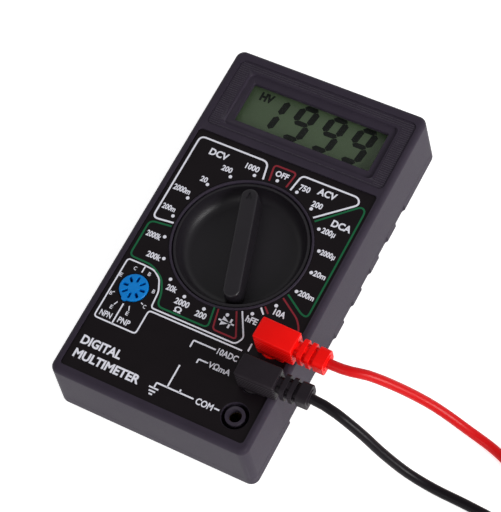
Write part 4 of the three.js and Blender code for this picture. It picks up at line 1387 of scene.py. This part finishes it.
@dataclass
class Artwork:
    """The printing on the film label."""

    dial: Point2 = DIAL_PLACE
    dot_circle: float = 24.4
    dot_radius: float = 0.58
    positions: int = 20
    pin_letter: Point2 = (0.9, 1.3)

    def white(self) -> None:
        """Prints the white frames, dots, numbers and names."""
        ink = PrintLayer("white_print", WHITE_INK, LABEL_TOP)
        for position in range(self.positions):
            angle = 2 * math.pi * position / self.positions
            ink.patch(circle(
                self.dot_radius, self.dial[0] + self.dot_circle * math.sin(angle),
                self.dial[1] + self.dot_circle * math.cos(angle), 16))
        ink.line([(-4.2, 22.0), (-5.5, 28.25), (-30.0, 28.25), (-30.0, -3.95), (-22.8, -3.1)], 0.6, 2.0)
        ink.line([(5.5, 22.0), (6.6, 28.15), (26.3, 28.15), (27.6, 25.9), (16.5, 16.2)], 0.6, 1.5)
        ink.line([(16.0, -17.8), (17.7, -19.6)], 0.55)
        ink.line([(11.3, -21.2), (15.9, -29.1), (14.4, -31.75), (-15.0, -31.75), (-15.5, -26.0),
                  (-17.4, -22.1), (-20.2, -20.1), (-24.0, -19.8), (-29.9, -19.8), (-29.9, -41.4),
                  (-15.1, -41.4), (-15.1, -32.85), (17.4, -32.85)], 0.5, 1.1)
        ink.line([(19.1, -29.6), (19.1, -32.3)], 0.5)
        ink.line([(-23.5, -34.0), (-23.5, -41.4)], 0.5)
        ink.line([(-23.5, -20.0), (-23.5, -22.4)], 0.45)
        ink.line([(10.0, -35.9), (2.35, -35.9), (2.35, -38.3)], 0.5, 0.3)
        ink.line([(9.9, -40.75), (6.7, -40.75), (6.7, -42.1)], 0.5, 0.3)
        ink.line([(11.5, -52.8), (-1.2, -52.8), (-1.2, -54.6)], 0.5, 0.3)
        ink.line([(2.4, -44.8), (2.4, -52.8)], 0.5)
        ink.line([(6.6, -51.7), (6.6, -52.8)], 0.5)
        ink.line([(18.6, -52.8), (20.3, -52.8)], 0.5)
        for y, width in ((-54.7, 3.2), (-55.8, 2.2), (-56.8, 1.2)):
            ink.line([(-1.2 - width / 2, y), (-1.2 + width / 2, y)], 0.5)
        self.diode(ink)
        self.pin_marks(ink)
        for words, *box in (
            ("DCV", -24.6, -18.0, 23.3, 25.8, 0.035), ("1000", -11.5, -6.8, 23.4, 25.5),
            ("200", -18.2, -14.6, 19.8, 21.8), ("20", -22.6, -20.2, 13.6, 15.6),
            ("2000m", -29.1, -23.2, 7.6, 9.7), ("200m", -29.1, -24.5, 0.2, 2.2),
            ("2000k", -29.0, -23.9, -10.4, -8.3), ("200k", -25.3, -20.4, -16.8, -14.7),
            ("20k", -14.0, -10.4, -24.4, -22.3), ("2000", -9.4, -4.5, -27.4, -25.3),
            ("Ω", -8.2, -5.8, -29.9, -27.9), ("200", -1.6, 2.1, -28.6, -26.5),
            ("hFE", 13.5, 17.3, -23.8, -21.7), ("10A", 20.2, 24.1, -18.4, -16.2),
            ("200m", 24.2, 29.4, -9.6, -7.6), ("20m", 25.3, 29.4, -1.8, 0.2),
            ("2000µ", 24.1, 29.0, 5.1, 7.5), ("200µ", 21.0, 25.6, 12.0, 14.5),
            ("200", 13.9, 17.5, 19.6, 21.7), ("750", 7.7, 11.3, 23.2, 25.4),
            ("ACV", 13.7, 20.0, 24.1, 26.6, 0.035), ("OFF", -1.5, 3.0, 24.7, 26.8),
            ("DCA", 22.7, 29.3, 15.7, 18.2, 0.035),
            ("NPN", -28.8, -24.8, -40.3, -38.3, 0.02), ("PNP", -22.4, -18.3, -40.3, -38.3, 0.02),
            ("DIGITAL", -29.4, -15.4, -51.1, -48.0, 0.035),
            ("MULTIMETER", -29.4, -6.3, -55.9, -52.9, 0.035),
            ("10ADC", 10.7, 17.6, -37.0, -34.9, 0.025), ("VΩmA", 10.2, 17.7, -41.9, -39.8, 0.025),
            ("COM", 12.4, 18.1, -54.0, -51.8, 0.025),
        ):
            ink.text(words, *box)
        ink.build()

    def diode(self, ink: PrintLayer) -> None:
        """Prints the diode sign."""
        ink.patch([(7.0, -28.1), (9.7, -26.5), (7.0, -24.9)])
        ink.line([(9.8, -28.1), (9.8, -24.9)], 0.65)
        ink.line([(5.9, -26.5), (11.2, -26.5)], 0.5)

    def pin_marks(self, ink: PrintLayer) -> None:
        """Prints the letters of the transistor's legs round the socket."""
        for letter, x, y in (
            ("C", -26.1, -21.9), ("B", -21.0, -21.9), ("E", -29.1, -25.6), ("B", -16.9, -26.6),
            ("B", -28.9, -32.4), ("C", -17.0, -32.3), ("E", -26.4, -36.5), ("E", -20.8, -36.5),
        ):
            ink.text(
                letter, x - self.pin_letter[0] / 2, x + self.pin_letter[0] / 2,
                y - self.pin_letter[1] / 2, y + self.pin_letter[1] / 2, 0.01)
        for start, end in (
            ((-28.0, -31.6), (-28.5, -31.8)), ((-18.6, -31.5), (-17.8, -31.9)),
            ((-25.5, -34.2), (-26.1, -35.5)), ((-21.4, -34.0), (-20.8, -35.5)),
        ):
            ink.line([start, end], 0.35)

    def green(self) -> None:
        """Prints the green frames."""
        ink = PrintLayer("green_print", GREEN_INK, LABEL_TOP)
        ink.line([(17.5, 15.2), (28.6, 25.6), (30.4, 24.6), (30.4, -14.9), (28.4, -14.9),
                  (21.5, -10.5)], 0.6, 1.6)
        ink.line([(-22.8, -4.4), (-30.1, -5.3), (-30.1, -18.6), (-21.8, -18.8), (-16.8, -21.6),
                  (-14.4, -26.0), (-13.5, -30.5), (4.2, -30.5), (2.9, -23.5)], 0.6, 1.8)
        ink.build()

    def red(self) -> None:
        """Prints the red frames."""
        ink = PrintLayer("red_print", RED_INK, LABEL_TOP)
        ink.line([(-2.2, 22.4), (-3.2, 28.2), (4.7, 28.2), (3.8, 22.4)], 0.6, 1.4)
        ink.line([(20.7, -12.2), (28.0, -16.9), (30.3, -20.4), (30.3, -25.5)], 0.55, 1.8)
        ink.line([(17.0, -17.0), (18.9, -18.8)], 0.55)
        ink.line([(4.3, -23.5), (5.8, -30.3), (13.9, -30.3), (9.7, -21.9)], 0.55, 1.2)
        ink.build()

    def build(self) -> None:
        """Prints all three inks."""
        self.white()
        self.green()
        self.red()


# ---- Display ------------------------------------------------------------------------------------


@dataclass
class Display:
    """The display's window, its crystal and the figures on it."""

    x: float = 0.5
    y: float = 45.7
    glass_top: float = 20.0
    window: tuple[float, float] = (20.2, 21.4)
    width: float = 56.0
    length: float = 21.0
    slant: float = 0.145
    half_width: float = 2.45
    half_height: float = 6.1
    bar_gap: float = 0.35
    bar_tip: float = 0.16
    lying_half: float = 0.95
    middle_half: float = 0.9
    upright_half: float = 1.15
    crystal_bottom: float = 17.4
    figures: tuple[tuple[str, float, float], ...] = (
        ("bc", -14.2, 46.6), ("abcdfg", -3.7, 46.6), ("abcdfg", 6.7, 46.6), ("abcdfg", 17.1, 46.6))

    def stroke(self, ink: PrintLayer, start: Point2, end: Point2, half: float, spot: Point2) -> None:
        """Adds one bar of a figure, even in its middle and pointed at its ends.

        Args:
            ink: The layer that it goes on.
            start: One end, from the figure's centre.
            end: The other end.
            half: Half its thickness.
            spot: The figure's centre.
        """
        first, last = Vector(start), Vector(end)
        ahead = (last - first).normalized()
        across = Vector((-ahead.y, ahead.x)) * half
        long = (last - first).length
        near, far = first + ahead * long * self.bar_tip, last - ahead * long * self.bar_tip
        outline = [first, near - across, far - across, last, far + across, near + across]
        ink.patch([(spot[0] + point.x + self.slant * point.y, spot[1] + point.y) for point in outline])

    def figure(self, ink: PrintLayer, bars: str, x: float, y: float) -> None:
        """Adds one seven-bar figure.

        Args:
            ink: The layer that it goes on.
            bars: The lit bars, a to g.
            x: Its centre's X.
            y: Its centre's Y.
        """
        wide, tall, gap = self.half_width, self.half_height, self.bar_gap
        lying, middle, upright = self.lying_half, self.middle_half, self.upright_half
        places = {
            "a": ((-wide, tall), (wide, tall), lying), "d": ((-wide, -tall), (wide, -tall), lying),
            "g": ((-wide, 0.0), (wide, 0.0), middle),
            "b": ((wide, gap), (wide, tall - gap), upright),
            "c": ((wide, -tall + gap), (wide, -gap), upright),
            "f": ((-wide, gap), (-wide, tall - gap), upright),
            "e": ((-wide, -tall + gap), (-wide, -gap), upright)}
        for bar in bars:
            start, end, half = places[bar]
            self.stroke(ink, start, end, half, (x, y))

    def build(self) -> None:
        """Builds the window, the figures and the crystal's finish."""
        low, high = self.window
        window = Solid().prism(
            rounded_rect(self.width, self.length, 0.6, self.x, self.y, 4), low, high).made("clear_window")
        softened(window, 0.15, 2)
        shown(window, Body.METER, "clear_plastic", WINDOW_CLEAR, "display_window")
        crystal = Solid().prism(
            rounded_rect(self.width, self.length, 0.2, self.x, self.y, 2), self.crystal_bottom,
            self.glass_top)
        piece = softened(crystal.made("crystal"), 0.08, 1)
        shown(piece, Body.METER, "display_glass", DISPLAY_GREEN, "display_glass")
        ink = PrintLayer("display_figures", DISPLAY_DARK, self.glass_top, 0.02, "display_glass")
        for bars, x, y in self.figures:
            self.figure(ink, bars, x, y)
        ink.text("HV", -20.6, -15.8, 49.3, 52.6, 0.06)
        ink.build()


# ---- Dial, jacks and socket -----------------------------------------------------------------------


@dataclass
class Dial:
    """The rotary dial: a dished disc with a finger bar across it."""

    place: Point2 = DIAL_PLACE
    turn: float = 18.0
    radius: float = 21.6
    rim: float = 23.3
    dish_radius: float = 16.4
    dish_floor: float = 17.5
    bar_half: float = 19.2
    bar_width: float = 6.0
    bar_top: float = 25.0
    bar_round: float = 0.9
    hub_radius: float = 2.6
    hub_end: float = 11.2
    pocket_bore: float = 1.35
    pocket_length: float = 7.0
    pocket_start: float = 16.6
    pocket_height: float = 14.3
    skirt: Point2 = (16.8, 22.6)
    skirt_heights: Point2 = (12.9, 20.7)

    def profile(self) -> list[Point2]:
        """Radius and height round the disc's section."""
        under = self.dish_floor - 1.8
        inside, outside = self.skirt
        foot, flange = self.skirt_heights
        profile = [(0.0, under), (inside, under), (inside, foot), (outside, foot), (outside, flange),
                   (self.radius, flange),
                   *eased((self.radius, self.rim - 0.45), (self.radius - 0.45, self.rim), 5)]
        top = self.radius - 1.0
        for step in range(17):
            angle = math.pi / 2 * step / 16
            profile.append((
                self.dish_radius + (top - self.dish_radius) * math.cos(angle),
                self.rim - 0.02 - (self.rim - self.dish_floor - 0.02) * math.sin(angle)))
        profile.append((0.0, self.dish_floor))
        return profile

    def bar(self) -> Solid:
        """The finger bar, a little narrower at its top, with rounded upper edges."""
        rings = []
        shoulder, lean = self.bar_top - self.bar_round, 0.22
        heights = [(self.dish_floor - 0.6, 0.0), (self.dish_floor + 0.2, 0.0), (shoulder, lean)]
        for step in range(1, 6):
            angle = math.pi / 2 * step / 5
            heights.append((
                shoulder + self.bar_round * math.sin(angle), lean + 0.8 * (1 - math.cos(angle))))
        for height, inset in heights:
            outline = rounded_rect(
                self.bar_width - 2 * inset, 2 * (self.bar_half - inset), self.bar_width / 2 - inset - 0.01,
                steps=12)
            rings.append(level(outline, height))
        return Solid().loft(rings)

    def build(self) -> None:
        """Builds the dial."""
        spot = turn_about(*self.place, 0, self.turn)
        knob = Solid().turned(self.profile(), 128).moved(spot).made("dial")
        tip = self.bar_half - 1.5
        arrow = Solid().prism(
            [(-1.0, tip - 2.5), (1.0, tip - 2.5), (0.0, tip)], self.bar_top - 0.4, self.bar_top + 1)
        hub = Solid().prism(circle(self.hub_radius, sides=32), self.hub_end, self.dish_floor - 1)
        bore, length = self.pocket_bore, self.pocket_length
        pockets = [
            Solid().turned([(0.0, 0.0), (bore, 0.0), (bore, length), (0.0, length)], 20).moved(
                spot @ Matrix.Translation((side * self.pocket_start, 0, self.pocket_height))
                @ Matrix.Rotation(side * math.pi / 2, 4, "Y"))
            for side in (-1, 1)]
        carved(knob, added=[self.bar().moved(spot), hub.moved(spot)],
               removed=[arrow.moved(spot), *pockets])
        softened(knob, 0, angle=32)
        shown(knob, Body.DIAL, "dial_plastic", DIAL_PLASTIC, "dial_knob")


@dataclass
class Socket:
    """The eight-slot transistor socket with its key."""

    place: Point2 = SOCKET_PLACE
    radius: float = 4.65
    top: float = 23.9
    bottom: float = 12.6
    round_edge: float = 0.3
    slots: int = 8
    slot_circle: float = 2.9
    slot_size: Point2 = (2.0, 0.8)
    mouth_size: Point2 = (2.3, 1.1)

    def build(self) -> None:
        """Builds the socket."""
        x, y = self.place
        shoulder = self.top - self.round_edge
        profile = [
            (0.0, self.bottom), (self.radius, self.bottom),
            *eased((self.radius, shoulder), (self.radius - self.round_edge, self.top), 4),
            (0.0, self.top)]
        piece = Solid().turned(profile, 64, x, y).made("blue_socket")
        key_width, key_length, key_x, key_y = SOCKET_KEY
        key = Solid().prism(
            rounded_rect(key_width, key_length, 0.8, x + key_x, y + key_y, 5), self.bottom, self.top)
        slot = rounded_rect(*self.slot_size, 0.38, self.slot_circle, 0, 4)
        mouth = rounded_rect(*self.mouth_size, 0.5, self.slot_circle, 0, 4)
        rings = [level(slot, self.top - 3), level(slot, self.top - 0.2), level(mouth, self.top + 0.05),
                 level(mouth, self.top + 1)]
        removed = [Solid().loft(rings).moved(turn_about(x, y, 0, 360 * index / self.slots))
                   for index in range(self.slots)]
        carved(piece, added=[key], removed=removed)
        softened(piece, 0)
        shown(piece, Body.METER, "blue_plastic", SOCKET_BLUE, "transistor_socket")


# ---- Inside -----------------------------------------------------------------------------------------

INSIDE: dict[Finish, tuple[str, ...]] = {
    BRASS: ("jack_com", "jack_vohm", "jack_10a", "wiper_1", "wiper_2", "wiper_3"),
    STEEL: ("rear_screw_left", "rear_screw_right", "board_screw_1", "board_screw_2", "board_screw_3",
            "board_screw_4", "fuse_clip_left", "fuse_clip_right", "detent_ball_left",
            "detent_ball_right", "detent_spring_left", "detent_spring_right"),
    WHITE_PLASTIC: ("display_frame",),
    ZEBRA_RUBBER: ("display_connector",),
    BOARD_GREEN: ("main_board",),
    FUSE_GLASS: ("fuse",),
    CHIP_EPOXY: ("chip_cover",),
    SOCKET_BLUE: ("trimmer",),
    SLEEVE_BLUE: ("capacitor_round",),
    RESIN_RED: ("capacitor_film_1", "capacitor_film_2"),
    COPPER: ("shunt_wire",),
    CELL_WRAP: ("battery",),
    BLACK_PVC: ("battery_snap",),
    RED_SHEATH: ("battery_wire_red",),
    BLACK_SHEATH: ("battery_wire_black",),
}


def dress_inside() -> None:
    """Gives every carried-over node its finish."""
    for finish, nodes in INSIDE.items():
        for node in nodes:
            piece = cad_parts[node]
            for slot in piece.material_slots:
                slot.material = material_of(finish)
            log.info("%s dressed as %s", node, finish.name)


# ---- Studio -----------------------------------------------------------------------------------------


@dataclass
class Studio:
    """Pale floor, soft lights and the camera."""

    target: tuple[float, float, float] = (0.675, 1.075, 12.0)
    distance: float = 582.0
    azimuth: float = 41.943
    elevation: float = 61.664
    roll: float = -15.974
    lens: float = 130.08
    horizon: float = 0.72
    zenith: float = 0.46
    fade: Point2 = (0.45, 0.8)
    floor_glow: float = 0.62
    floor_radius: float = 3000.0

    def camera(self) -> None:
        """Sets the camera up."""
        around, up = math.radians(self.azimuth), math.radians(self.elevation)
        ahead = Vector((-math.sin(around) * math.cos(up), math.cos(around) * math.cos(up), -math.sin(up)))
        right = ahead.cross(Vector((0, 0, 1))).normalized()
        above = right.cross(ahead)
        roll = math.radians(self.roll)
        leant = math.cos(roll) * right + math.sin(roll) * above
        above = leant.cross(ahead)
        place = (Vector(self.target) - ahead * self.distance) * MM
        data = bpy.data.cameras.new("camera")
        data.lens = self.lens
        data.sensor_width = 36.0
        data.clip_start = 0.01
        camera = bpy.data.objects.new("camera", data)
        turn = Matrix((leant, above, -ahead)).transposed().to_4x4()
        camera.matrix_world = Matrix.Translation(place) @ turn
        bpy.context.scene.collection.objects.link(camera)
        bpy.context.scene.camera = camera

    def floor(self) -> None:
        """Lays the floor."""
        paint = Paint("studio_floor")
        cloud = paint.noise(60.0, 2.0)
        paint.dress(
            Base_Color=paint.mix(cloud, srgb(246, 246, 246), srgb(252, 252, 252)),
            Roughness=0.8 + cloud * 0.1, Emission_Color=(1.0, 1.0, 1.0, 1.0),
            Emission_Strength=self.floor_glow)
        floor = Solid().prism(circle(self.floor_radius, sides=64), -2.0, -0.05).made("floor")
        floor.data.materials.append(paint.material)

    def lamp(
        self, name: str, place: tuple[float, float, float], size: float, power: float,
        aim: tuple[float, float, float] = (0.0, 0.0, 0.0),
    ) -> None:
        """Hangs one soft lamp.

        Args:
            name: Its name.
            place: Its place in metres.
            size: Its width in metres.
            power: Its power in watts.
            aim: The point that it faces.
        """
        data = bpy.data.lights.new(name, "AREA")
        data.shape = "DISK"
        data.size = size
        data.energy = power
        lamp = bpy.data.objects.new(name, data)
        lamp.location = place
        ahead = Vector(aim) - Vector(place)
        lamp.rotation_mode = "QUATERNION"
        lamp.rotation_quaternion = ahead.to_track_quat("-Z", "Y")
        bpy.context.scene.collection.objects.link(lamp)

    def light(self) -> None:
        """Sets the sky and the lamps."""
        world = bpy.data.worlds.new("studio_sky")
        world.use_nodes = True
        tree = world.node_tree
        place = tree.nodes.new("ShaderNodeTexCoord")
        split = tree.nodes.new("ShaderNodeSeparateXYZ")
        fade = tree.nodes.new("ShaderNodeValToRGB")
        tree.links.new(place.outputs["Generated"], split.inputs[0])
        tree.links.new(split.outputs["Z"], fade.inputs[0])
        tree.links.new(fade.outputs[0], tree.nodes["Background"].inputs["Color"])
        for element, height, tone in zip(fade.color_ramp.elements, self.fade, (1.0, self.zenith)):
            element.position = height
            element.color = (tone, tone, tone, 1.0)
        tree.nodes["Background"].inputs["Strength"].default_value = self.horizon
        bpy.context.scene.world = world
        bpy.context.scene.view_settings.view_transform = "Standard"
        self.lamp("key_lamp", (0.95, -0.15, 0.5), 0.5, 8.0)
        self.lamp("front_lamp", (0.1, -1.0, 0.7), 0.6, 1.5)

    def build(self) -> None:
        """Builds the floor and the lights."""
        self.floor()
        self.light()


def main() -> None:
    """Builds the scene."""
    logging.basicConfig(level=logging.INFO, format="%(name)s: %(message)s")
    studio = Studio()
    studio.camera()
    test_leads()
    Case().build()
    Artwork().build()
    Display().build()
    Dial().build()
    Socket().build()
    dress_inside()
    studio.build()


if __name__ == "__main__":
    main()
